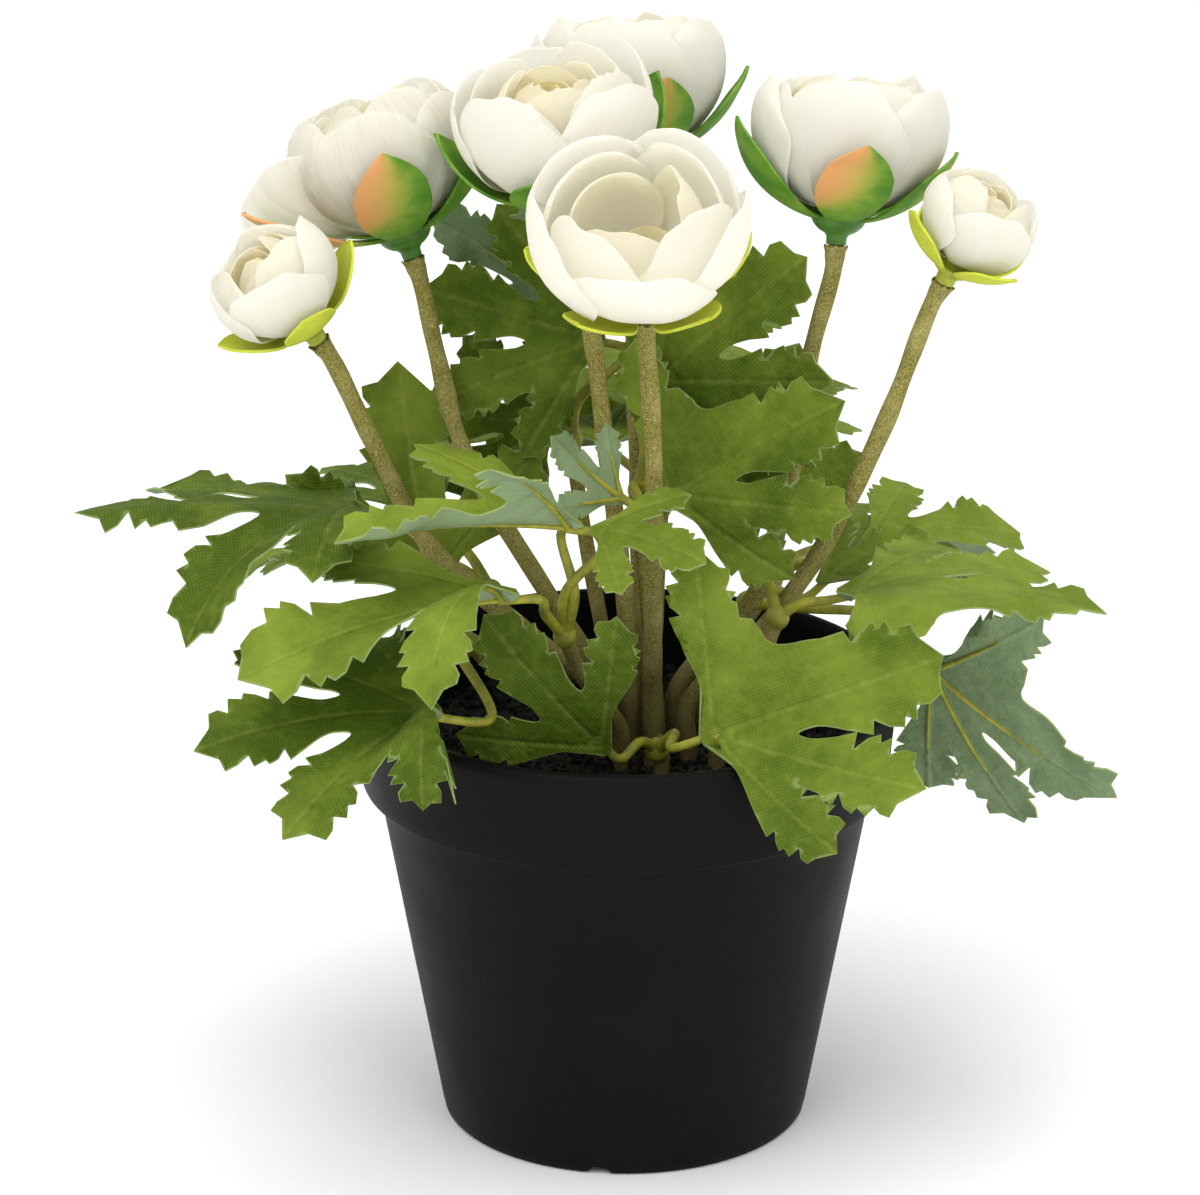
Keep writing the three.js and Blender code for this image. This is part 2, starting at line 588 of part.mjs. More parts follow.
// The petals, whorl in whorl, held together by a pin through their eyes.
function bloomMesh(flower) {
  const random = randomSource(flower.seed);
  const { petalEye, scale, stretch } = headSizes(flower);
  const whorls = WHORLS[flower.kind];
  const turns = flower.whorlTurns || whorls.map(() => flower.turn);
  const solids = whorls.map((whorl, i) => solidOf(whorlGeometry({
    ...whorl, radius: whorl.radius * flower.radius, turn: whorl.turn + turns[i], tall: whorl.tall * stretch,
    tips: flower.tips && flower.tips[i], eye: petalEye + WHORL_STEP * i, tile: TILE_SHIFT / whorl.radius, random,
    loosePetal: i === 0 ? flower.loosePetal : undefined })));
  const pinHeight = WHORL_STEP * (whorls.length - 1) + 0.3;
  solids.push(solidOf(new THREE.CylinderGeometry(1.7 * scale, 1.7 * scale, pinHeight, 5)
    .rotateX(Math.PI / 2).translate(0, 0, petalEye + WHORL_STEP * (whorls.length - 1) / 2)));
  const geometry = geometryFrom(fuse(solids)).applyMatrix4(headFrame(flower));
  return mesh('bloom_' + flower.name, geometry, petalMaterial);
}

// The green cup under the petals, with its neck on the stem and its sepals up the outside of the globe.
function calyxMesh(flower) {
  const { scale, petalEye, sepalEye, globeTall } = headSizes(flower);
  const seat = petalEye - PETAL_THICKNESS / 2 - RUNNING_GAP;
  const profile = [[0, RUNNING_GAP], [2.3, RUNNING_GAP], [2.7, 2.6], [2 + 3.2 * scale, sepalEye],
    [2 + 2 * scale, seat], [0, seat]];
  const cut = SEPALS[flower.kind];
  const sepals = sepalGeometry({
    ...cut, tip: flower.sepalTip || cut.tip, radius: flower.radius * (1 + TILE_SHIFT) + SEPAL_CLEARANCE,
    tall: globeTall, eye: sepalEye, turn: flower.calyxTurn || flower.turn + 20,
    looseSepals: flower.looseSepals || [], random: randomSource(flower.seed + 500) });
  const geometry = geometryFrom(fuse([solidOf(turned(profile, 7)), solidOf(sepals)]))
    .applyMatrix4(headFrame(flower));
  return mesh('calyx_' + flower.name, geometry, flower.kind === 'bud' ? budSepalMaterial : sepalMaterial);
}

// A flower stem, from its hole in the pot's filling up to the flat bottom of the green cup.
function stemRoute(flower) {
  const [foot, ...rest] = flower.stem;
  const heights = [SOIL_TOP - STEM_DEPTH, SOIL_TOP + 1, SOIL_TOP + STRAIGHT];
  const route = [...heights.map((z) => vec([...foot, z])), ...rest.map(vec)];
  const top = route.at(-1);
  route.splice(-1, 0, top.clone().addScaledVector(vec(flower.face).normalize(), -5));
  return route;
}

function stemMesh(flower) {
  const geometry = tubeGeometry(stemRoute(flower), STEM_RADIUS, STEM_TOP_RADIUS, 6, 7);
  return mesh('stem_' + flower.name, geometry, stemMaterial);
}

function potMesh() {
  const { height, rimRadius, bevelRadius, bevelHeight, bandHeight, bandBottomRadius, bodyTopRadius } = POT;
  const { footRadius, wall, floor, sides } = POT;
  const bandBottom = height - bandHeight;
  const profile = [
    [0, 0], [footRadius, 0], [bodyTopRadius, bandBottom],
    [bandBottomRadius, bandBottom], [rimRadius, height - bevelHeight], [bevelRadius, height],
    [bevelRadius - wall, height], [bodyTopRadius - wall, bandBottom], [footRadius - wall, floor], [0, floor],
  ];
  let solid = solidOf(turned(profile, sides));
  for (let i = 0; i < FOOT_NOTCH.count; i++) {
    const angle = (FOOT_NOTCH.firstAngle + (360 * i) / FOOT_NOTCH.count) * DEG;
    const cutter = new THREE.BoxGeometry(2 * FOOT_NOTCH.depth, FOOT_NOTCH.width, 2 * FOOT_NOTCH.height)
      .translate(footRadius, 0, 0).rotateZ(angle);
    solid = solid.subtract(solidOf(cutter));
  }
  return mesh('pot', geometryFrom(solid), potMaterial);
}

// The inner radius of the pot's wall at a height.
function wallRadius(height) {
  const bandBottom = POT.height - POT.bandHeight;
  const inner = POT.bodyTopRadius - POT.wall;
  return height < bandBottom
    ? mix(POT.footRadius - POT.wall, inner, (height - POT.floor) / (bandBottom - POT.floor))
    : mix(inner, POT.bevelRadius - POT.wall, (height - bandBottom) / POT.bandHeight);
}

// The holes that the stems stand in.
function stemHoles() {
  const hole = ([x, y], radius, depth) => {
    const bottom = SOIL_TOP - depth - RUNNING_GAP;
    return solidOf(new THREE.CylinderGeometry(radius + 0.7, radius + 0.7, SOIL_TOP + 10 - bottom, 6)
      .rotateX(Math.PI / 2).translate(x, y, (SOIL_TOP + 10 + bottom) / 2));
  };
  return [
    ...FLOWERS.map((flower) => hole(flower.stem[0], STEM_RADIUS, STEM_DEPTH)),
    ...SPRAYS.map((spray) => hole(spray.foot, SPRAY_STEM_RADIUS, SPRAY_DEPTH)),
  ];
}

function fillingMeshes() {
  const holes = stemHoles();
  const pierced = (profile) => geometryFrom(holes.reduce(
    (filling, hole) => filling.subtract(hole), solidOf(turned(profile, POT.sides / 2))));
  const bandBottom = POT.height - POT.bandHeight;
  const outer = (height) => [wallRadius(height) - RUNNING_GAP, height];
  const ballast = [[0, POT.floor], outer(POT.floor), outer(BALLAST_TOP), [0, BALLAST_TOP]];
  const soil = [[0, BALLAST_TOP], outer(BALLAST_TOP), outer(bandBottom), outer(SOIL_TOP - SOIL_DOME), [0, SOIL_TOP]];
  return [
    mesh('ballast_block', pierced(ballast), ballastMaterial),
    mesh('soil_granules', pierced(soil), soilMaterial),
  ];
}

function material(hex, roughness) {
  return new THREE.MeshStandardMaterial({ color: hex, roughness, metalness: 0 });
}

const potMaterial = material(0x2b2a28, 0.5);
const ballastMaterial = material(0x9a958c, 0.9);
const soilMaterial = material(0x17140f, 0.95);
const stemMaterial = material(0x857a50, 0.9);
const leafMaterial = material(0x5d8a33, 0.75);
const petalMaterial = material(0xf3f0e4, 0.7);
const sepalMaterial = material(0x5f9440, 0.75);
const budSepalMaterial = material(0xb9c23c, 0.7);

function mesh(name, geometry, finish) {
  const made = new THREE.Mesh(geometry, finish);
  made.name = name;
  return made;
}

const plant = new THREE.Group();
plant.name = 'potted_ranunculus';
plant.add(potMesh(), ...fillingMeshes());
for (const flower of FLOWERS) plant.add(stemMesh(flower), calyxMesh(flower), bloomMesh(flower));
for (const spray of SPRAYS) plant.add(sprayMesh(spray));

export default plant;
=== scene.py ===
"""A potted ranunculus of the made kind: cloth petals, sepals and leaves, flocked stems and a moulded pot.

The scene is in metres in the part's own frame: +Z up, the pot's flat underside at z = 0, and the nearest
bloom towards -Y. The sizes in the classes are in millimetres, and ``Pile.make`` turns them into metres.
"""

import logging
import math
from dataclasses import dataclass, field
from enum import Enum
from itertools import combinations
from typing import Callable, Sequence

import bpy
import numpy as np
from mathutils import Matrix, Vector
from mathutils.geometry import delaunay_2d_cdt


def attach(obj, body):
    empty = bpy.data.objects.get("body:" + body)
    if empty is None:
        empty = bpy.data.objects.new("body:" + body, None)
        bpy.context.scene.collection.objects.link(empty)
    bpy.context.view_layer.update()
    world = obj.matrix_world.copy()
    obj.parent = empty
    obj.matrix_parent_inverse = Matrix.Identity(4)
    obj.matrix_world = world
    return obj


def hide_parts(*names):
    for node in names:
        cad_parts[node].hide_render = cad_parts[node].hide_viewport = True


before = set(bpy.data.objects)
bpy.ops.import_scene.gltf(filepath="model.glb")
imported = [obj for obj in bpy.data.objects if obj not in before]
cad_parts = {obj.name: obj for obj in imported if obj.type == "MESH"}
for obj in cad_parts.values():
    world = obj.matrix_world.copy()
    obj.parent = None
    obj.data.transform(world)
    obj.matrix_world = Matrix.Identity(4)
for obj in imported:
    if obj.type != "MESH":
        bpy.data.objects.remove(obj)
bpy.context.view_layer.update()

LOG = logging.getLogger("potted_ranunculus")
MM = 0.001
TINY = 1e-12  # keeps a division from failing
SOIL_TOP = 86.0  # the height of the granules
SHARP_ANGLE = 48.0  # the angle between two faces from which their edge is sharp
SPAN_STEPS = 24  # the samples between two knots of a route
END_DOME = 0.3  # the rise of a tube's ends, as a share of its radius
UP = np.array([0.0, 0.0, 1.0])
Array = np.ndarray
Pair = tuple[float, float]
Triple = tuple[float, float, float]
Finishes = Sequence[bpy.types.Material]


# Numbers and colours

class Draws:
    """A seeded run of numbers between 0 and 1, the same on every machine."""

    MASK = 0xFFFFFFFF

    def __init__(self, seed: int) -> None:
        """Starts the run from a seed."""
        self.state = seed & self.MASK

    def next(self) -> float:
        """Gives the next number.

        Returns:
            The number.
        """
        self.state = (self.state + 0x6D2B79F5) & self.MASK
        t = self.state
        t = ((t ^ (t >> 15)) * (t | 1)) & self.MASK
        t = (t ^ (t + (((t ^ (t >> 7)) * (t | 61)) & self.MASK))) & self.MASK
        return (t ^ (t >> 14)) / (self.MASK + 1)

    def several(self, count: int) -> Array:
        """Gives the next few numbers."""
        return np.array([self.next() for _ in range(count)])

    def spread(self, half: float) -> float:
        """Gives a number between minus and plus half."""
        return (self.next() - 0.5) * 2 * half


def linear(colour: str) -> tuple[float, float, float, float]:
    """Turns an sRGB hex value into linear red, green, blue and alpha.

    Args:
        colour: The value, such as "#F3F0E4".

    Returns:
        The linear colour that a shader takes.
    """
    shares = [int(colour[i:i + 2], 16) / 255 for i in (1, 3, 5)]
    red, green, blue = (c / 12.92 if c <= 0.04045 else ((c + 0.055) / 1.055) ** 2.4 for c in shares)
    return red, green, blue, 1.0


def ease(low: float, high: float, value: Array) -> Array:
    """Rises smoothly from 0 at low to 1 at high."""
    t = np.clip((np.asarray(value, dtype=float) - low) / (high - low), 0.0, 1.0)
    return t * t * (3 - 2 * t)


def through(knots: Sequence[float], values: Sequence[float], at: Array) -> Array:
    """Gives a smooth curve through the values at up to four knots."""
    return np.polyval(np.polyfit(knots, values, len(knots) - 1), at)


def unit(vector: Sequence[float]) -> Array:
    """Gives a vector the length 1."""
    v = np.asarray(vector, dtype=float)
    return v / np.linalg.norm(v)


def unit_rows(rows: Array) -> Array:
    """Gives each row of an array the length 1."""
    return rows / np.maximum(np.linalg.norm(rows, axis=1, keepdims=True), TINY)


def heading(degrees: float) -> Array:
    """Gives the flat direction at an angle."""
    return np.array([math.cos(math.radians(degrees)), math.sin(math.radians(degrees))])


def run_length(points: Array) -> Array:
    """Gives how far along a route each of its points is."""
    return np.concatenate([[0.0], np.cumsum(np.linalg.norm(np.diff(points, axis=0), axis=1))])


# Meshes

@dataclass
class Shell:
    """A closed mesh in the making, in millimetres."""

    points: Array
    faces: list[tuple[int, ...]]
    finish: list[int]
    cloth: Array
    marks: dict[str, Array] = field(default_factory=dict)


def show(name: str, data: bpy.types.ID) -> bpy.types.Object:
    """Puts a mesh, a lamp or a camera into the scene.

    Args:
        name: The object's name.
        data: What it shows.

    Returns:
        The object.
    """
    made = bpy.data.objects.new(name, data)
    bpy.context.scene.collection.objects.link(made)
    return made


class Pile:
    """Gathers the shells of one piece and turns them into one object."""

    def __init__(self) -> None:
        """Starts an empty pile."""
        self.shells: list[Shell] = []

    def add(self, shell: Shell) -> None:
        """Adds a shell to the pile."""
        self.shells.append(shell)

    def move(self, how: Callable[[Array], Array]) -> None:
        """Moves every shell of the pile."""
        for shell in self.shells:
            shell.points = how(shell.points)

    def make(self, name: str, finishes: Finishes, node: str, slot: str) -> bpy.types.Object:
        """Makes the object, which rides on the root body and stands for a node of the part.

        Args:
            name: The piece's name.
            finishes: Its materials, in the order of the shells' finish numbers.
            node: The node of the part that it replaces.
            slot: The material slot of the record that it belongs to; not used.

        Returns:
            The object.
        """
        starts = np.cumsum([0] + [len(shell.points) for shell in self.shells])
        points = np.concatenate([shell.points for shell in self.shells]) * MM
        faces = [tuple(int(corner + start) for corner in face)
                 for shell, start in zip(self.shells, starts) for face in shell.faces]
        mesh = bpy.data.meshes.new(name)
        mesh.from_pydata(points.tolist(), [], faces)
        mesh.polygons.foreach_set("material_index", [n for shell in self.shells for n in shell.finish])
        mesh.polygons.foreach_set("use_smooth", [True] * len(faces))
        corners = np.empty(len(mesh.loops), dtype=np.int32)
        mesh.loops.foreach_get("vertex_index", corners)
        cloth = np.concatenate([shell.cloth for shell in self.shells])
        mesh.uv_layers.new(name="cloth").data.foreach_set("uv", cloth[corners].ravel())
        for mark in sorted({mark for shell in self.shells for mark in shell.marks}):
            values = np.concatenate([np.broadcast_to(shell.marks.get(mark, 0.0), len(shell.points))
                                     for shell in self.shells])
            mesh.attributes.new(mark, "FLOAT", "POINT").data.foreach_set("value", values.astype(np.float32))
        mesh.set_sharp_from_angle(angle=math.radians(SHARP_ANGLE))
        mesh.update()
        for finish in finishes:
            mesh.materials.append(finish)
        piece = show(name, mesh)
        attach(piece, "root")
        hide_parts(node)
        LOG.info("%s: %d faces", name, len(faces))
        return piece


def grid_faces(rows: int, columns: int) -> Array:
    """Gives the quads between the rows of a grid of points."""
    first = (np.arange(rows - 1)[:, None] * columns + np.arange(columns - 1)[None, :]).ravel()
    return np.stack([first, first + 1, first + 1 + columns, first + columns], axis=1)


def sheet(points: Array, faces: Array, thickness: float, cloth: Array, marks: dict[str, Array],
          finishes: tuple[int, int, int]) -> Shell:
    """Gives a surface an even thickness, as cut cloth has.

    Args:
        points: The surface's points.
        faces: Its triangles or quads, anticlockwise seen from outside.
        thickness: The cloth's thickness.
        cloth: Each point's place on the flat cloth, in millimetres.
        marks: Named values of the points.
        finishes: The finish numbers of the outer face, the inner face and the cut edge.

    Returns:
        The closed shell.
    """
    first, second, third = (points[faces[:, i]] for i in (0, 1, 2))
    across = points[faces[:, -1]] - second if faces.shape[1] == 4 else third - first
    along = third - first if faces.shape[1] == 4 else second - first
    face_normals = np.cross(along, across)
    normals = np.zeros_like(points)
    for corner in range(faces.shape[1]):
        np.add.at(normals, faces[:, corner], face_normals)
    normals = unit_rows(normals)
    count = len(points)
    rim: dict[tuple[int, int], tuple[int, int]] = {}
    for face in faces.tolist():
        for start, end in zip(face, face[1:] + face[:1]):
            if (end, start) in rim:
                del rim[(end, start)]
            else:
                rim[(start, end)] = (start, end)
    outer = [tuple(face) for face in faces.tolist()]
    inner = [tuple(count + corner for corner in reversed(face)) for face in faces.tolist()]
    edge = [(start, start + count, end + count, end) for start, end in rim]
    return Shell(
        np.concatenate([points + normals * thickness / 2, points - normals * thickness / 2]),
        outer + inner + edge,
        [finishes[0]] * len(outer) + [finishes[1]] * len(inner) + [finishes[2]] * len(edge),
        np.concatenate([cloth, cloth]),
        {mark: np.concatenate([np.broadcast_to(v, count)] * 2) for mark, v in marks.items()})


def smooth_route(knots: Sequence[Sequence[float]], count: int) -> Array:
    """Runs an even centripetal curve through the knots.

    Args:
        knots: The points that the curve passes through.
        count: The number of points wanted.

    Returns:
        Points at even distances along the curve.
    """
    k = np.asarray(knots, dtype=float)
    k = np.concatenate([[2 * k[0] - k[1]], k, [2 * k[-1] - k[-2]]])
    samples = []
    for p0, p1, p2, p3 in zip(k[:-3], k[1:-2], k[2:-1], k[3:]):
        d0, d1, d2 = (max(np.linalg.norm(b - a), 1e-6) ** 0.5 for a, b in ((p0, p1), (p1, p2), (p2, p3)))
        start = ((p1 - p0) / d0 - (p2 - p0) / (d0 + d1) + (p2 - p1) / d1) * d1
        end = ((p2 - p1) / d1 - (p3 - p1) / (d1 + d2) + (p3 - p2) / d2) * d1
        t = np.linspace(0, 1, SPAN_STEPS, endpoint=False)[:, None]
        samples.append(p1 + start * t + (3 * (p2 - p1) - 2 * start - end) * t ** 2
                       + (2 * (p1 - p2) + start + end) * t ** 3)
    dense = np.concatenate(samples + [k[-2:-1]])
    run = run_length(dense)
    wanted = np.linspace(0, run[-1], count)
    return np.stack([np.interp(wanted, run, dense[:, axis]) for axis in range(3)], axis=1)


def barrel_faces(rings: int, sides: int) -> list[tuple[int, ...]]:
    """Joins rings of points with quads, and closes each end with triangles to a point.

    Args:
        rings: The number of rings.
        sides: The number of points in a ring. The two end points follow the last ring.

    Returns:
        The faces.
    """
    faces: list[tuple[int, ...]] = []
    for start in range(0, (rings - 1) * sides, sides):
        for k in range(sides):
            a, b = start + k, start + (k + 1) % sides
            faces.append((a, b, b + sides, a + sides))
    last, end = (rings - 1) * sides, rings * sides
    for k in range(sides):
        faces.append((end, (k + 1) % sides, k))
        faces.append((end + 1, last + k, last + (k + 1) % sides))
    return faces


def tube(route: Array, radii: Array, sides: int, finish: int, **marks: float) -> Shell:
    """Sweeps a round section along a route and closes its ends with low domes.

    Args:
        route: Points along the middle.
        radii: The radius at each of them.
        sides: The number of sides.
        finish: The finish number of its faces.
        **marks: Named values, the same at every point.

    Returns:
        The closed shell.
    """
    tangents = np.gradient(route, axis=0)
    tangents /= np.linalg.norm(tangents, axis=1, keepdims=True)
    across = unit(np.cross([1.0, 0.2, 0.0], tangents[0]))
    angles = np.arange(sides) * 2 * math.pi / sides
    rings = []
    for centre, tangent, radius in zip(route, tangents, radii):
        across = unit(across - tangent * across.dot(tangent))
        other = np.cross(tangent, across)
        rings.append(centre + radius * (np.cos(angles)[:, None] * across + np.sin(angles)[:, None] * other))
    points = np.concatenate(rings + [[route[0] - tangents[0] * radii[0] * END_DOME],
                                     [route[-1] + tangents[-1] * radii[-1] * END_DOME]])
    faces = barrel_faces(len(route), sides)
    run = run_length(route)
    cloth = np.stack([np.append(np.tile(np.abs(np.arange(sides) - sides / 2), len(route)), [0, 0]),
                      np.append(np.repeat(run, sides), [0, run[-1]])], axis=1)
    return Shell(points, faces, [finish] * len(faces), cloth,
                 {mark: np.full(len(points), value) for mark, value in marks.items()})


def lathe(profile: Sequence[tuple[float, float]], sides: int, finish: int,
          shape: Callable[[Array], Array] | None = None) -> Shell:
    """Turns a profile about the vertical axis.

    Args:
        profile: Pairs of radius and height, from the axis round and back to the axis.
        sides: The number of sides.
        finish: The finish number of its faces.
        shape: Changes the points, if given.

    Returns:
        The closed shell.
    """
    angles = np.arange(sides) * 2 * math.pi / sides
    inner = profile[1:-1]
    points = [np.stack([r * np.cos(angles), r * np.sin(angles), np.full(sides, z)], axis=1) for r, z in inner]
    points.append(np.array([[0.0, 0.0, profile[0][1]], [0.0, 0.0, profile[-1][1]]]))
    every = np.concatenate(points)
    faces = barrel_faces(len(inner), sides)
    if shape is not None:
        every = shape(every)
    return Shell(every, faces, [finish] * len(faces), every[:, :2].copy())


def turn_to(face: Sequence[float], origin: Sequence[float]) -> Callable[[Array], Array]:
    """Makes a move that tips +Z over to a direction by the shortest way and then shifts.

    Args:
        face: The direction.
        origin: Where the point 0, 0, 0 goes.

    Returns:
        A function that moves points.
    """
    turn = np.array(Vector((0, 0, 1)).rotation_difference(Vector(unit(face))).to_matrix())
    place = np.asarray(origin, dtype=float)
    return lambda points: points @ turn.T + place


# Finishes

class Node(Enum):
    """The nodes in use: each one's type, the sockets that its values go to, its output and its settings."""

    MARK = ("Attribute", (), "Fac", {})
    FLAT = ("UVMap", (), 0, {"uv_map": "cloth"})
    PLACE = ("TexCoord", (), "Object", {})
    STRETCH = ("Mapping", (0, 3), 0, {})
    HEIGHT = ("SeparateXYZ", (0,), 2, {})
    NOISE = ("TexNoise", ("Vector", "Scale", "Detail", "Roughness"), 0, {})
    WAVE = ("TexWave", ("Vector", "Scale", "Distortion", "Detail Scale"), 1, {})
    PLUS = ("Math", (0, 1), 0, {"operation": "ADD"})
    MINUS = ("Math", (0, 1), 0, {"operation": "SUBTRACT"})
    TIMES = ("Math", (0, 1), 0, {"operation": "MULTIPLY"})
    OVER = ("Math", (0, 1), 0, {"operation": "DIVIDE"})
    MOST = ("Math", (0, 1), 0, {"operation": "MAXIMUM"})
    SIZE = ("Math", (0,), 0, {"operation": "ABSOLUTE"})
    REST = ("Math", (0,), 0, {"operation": "FRACT"})
    RAMP = ("MapRange", (0, 1, 2, 3, 4), 0, {"interpolation_type": "SMOOTHSTEP"})
    BLEND = ("Mix", (0, 6, 7), 2, {"data_type": "RGBA", "clamp_factor": True})
    BUMP = ("Bump", ("Height", "Strength", "Distance"), 0, {})
    SURFACE = ("BsdfPrincipled", ("Base Color", "Roughness", "Normal"), 0, {})
    GLOW = ("BsdfTranslucent", ("Color", "Normal"), 0, {})
    JOIN = ("MixShader", (0, 1, 2), 0, {})
    MATERIAL_END = ("OutputMaterial", (0,), None, {})
    LIGHT_PATH = ("LightPath", (), "Is Camera Ray", {})
    BACKGROUND = ("Background", (0, 1), 0, {})
    WORLD_END = ("OutputWorld", (0,), None, {})


class Tree:
    """The node tree of a material or a world in the making."""

    def __init__(self, owner: bpy.types.Material | bpy.types.World) -> None:
        """Empties the owner's tree.

        Args:
            owner: What the tree belongs to.
        """
        owner.use_nodes = True
        self.owner = owner
        self.tree = owner.node_tree
        self.tree.nodes.clear()

    def add(self, kind: Node, *values: object, sockets: dict[str, object] | None = None,
            **settings: object) -> bpy.types.NodeSocket | None:
        """Adds a node with its settings and links.

        Args:
            kind: The node.
            *values: What goes into its usual sockets: numbers, hex colours, or outputs to link.
            sockets: What goes into other sockets.
            **settings: More properties of the node.

        Returns:
            The node's output, or None for the last node of a tree.
        """
        name, usual, output, fixed = kind.value
        made = self.tree.nodes.new(f"ShaderNode{name}")
        for key, value in {**fixed, **settings}.items():
            setattr(made, key, value)
        for key, value in [*zip(usual, values), *(sockets or {}).items()]:
            if isinstance(value, bpy.types.NodeSocket):
                self.tree.links.new(value, made.inputs[key])
            else:
                made.inputs[key].default_value = linear(value) if isinstance(value, str) else value
        return None if output is None else made.outputs[output]


class Finish(Tree):
    """A material in the making, with places on the flat cloth and in space, both in millimetres."""

    def __init__(self, name: str) -> None:
        """Starts the material.

        Args:
            name: The material's name.
        """
        super().__init__(bpy.data.materials.new(name))
        self.flat = self.add(Node.FLAT)
        self.place = self.add(Node.STRETCH, self.add(Node.PLACE), (1 / MM,) * 3)

    def weave(self, spacing: float) -> bpy.types.NodeSocket:
        """Draws the warp and weft of a plain weave.

        Args:
            spacing: The distance from thread to thread in millimetres.

        Returns:
            The height of the weave between 0 and 1.
        """
        warp, weft = (self.add(Node.WAVE, self.flat, math.pi / 10 / spacing, 1.5, 0.6, bands_direction=way)
                      for way in ("X", "Y"))
        return self.add(Node.TIMES, self.add(Node.PLUS, warp, weft), 0.5)

    def tint(self, colour: object, paint: str, share: object, *span: float) -> bpy.types.NodeSocket:
        """Lays a share of a second colour over the first. A span stretches the share."""
        return self.add(Node.BLEND, self.add(Node.RAMP, share, *span) if span else share, colour, paint)

    def close(self, colour: object, rough: object, normal: object, through: float = 0.0,
              **sockets: object) -> bpy.types.Material:
        """Ends the material in its surface shader.

        Args:
            colour: The base colour.
            rough: The roughness.
            normal: The bumped normal.
            through: The share of the light that each face of the cloth lets through.
            **sockets: More inputs, with underscores for spaces.

        Returns:
            The material.
        """
        more = {key.replace("_", " "): value for key, value in sockets.items()}
        surface = self.add(Node.SURFACE, colour, rough, normal, sockets=more)
        if through:
            surface = self.add(Node.JOIN, through, surface, self.add(Node.GLOW, colour, normal))
        self.add(Node.MATERIAL_END, surface)
        return self.owner


@dataclass(frozen=True)
class PetalCloth:
    """Woven polyester, pressed into cups. It is matt and lets light through, so that its folds glow cream."""

    face: str = "#FDFCF7"
    shade: str = "#F6F4E9"
    heart: str = "#FAF1CA"
    root: str = "#EBECC6"
    thread: float = 0.7  # real threads lie 0.3 mm apart; drawn coarser, so that they show
    through: float = 0.68  # the share of the light that each face of the thin cloth lets through

    def make(self) -> bpy.types.Material:
        """Makes the material.

        Returns:
            The material.
        """
        f = Finish("pressed_polyester_petal_cloth")
        streaks = f.add(Node.NOISE, f.add(Node.STRETCH, f.flat, (1.0, 0.09, 1.0)), 0.9, 3.0, 0.55)
        creases = f.add(Node.NOISE, f.add(Node.STRETCH, f.flat, (1.0, 0.12, 1.0)), 0.5, 4.0, 0.55)
        pleats, heart, up = (f.add(Node.MARK, attribute_name=name) for name in ("pleats", "heart", "up"))
        share = f.add(Node.TIMES, f.add(Node.RAMP, streaks, 0.35, 0.75), pleats)
        colour = f.tint(self.face, self.shade, share)
        colour = f.tint(colour, self.heart, f.add(Node.TIMES, heart, 0.8))
        colour = f.tint(colour, self.root, up, 0.42, 0.0, 0.0, 0.6)
        depth = f.add(Node.TIMES, creases, f.add(Node.RAMP, pleats, 0.0, 1.0, 0.2, 0.9))
        height = f.add(Node.PLUS, f.add(Node.TIMES, f.weave(self.thread), 0.14), depth)
        rough = f.add(Node.RAMP, streaks, 0.2, 0.8, 0.7, 0.82)
        normal = f.add(Node.BUMP, height, 0.4, 0.5 * MM)
        return f.close(colour, rough, normal, self.through, Specular_IOR_Level=0.15)


class LeafSide(Enum):
    """Which face of the leaf cloth is seen."""

    TOP = "top"
    UNDER = "under"
    CUT = "cut"


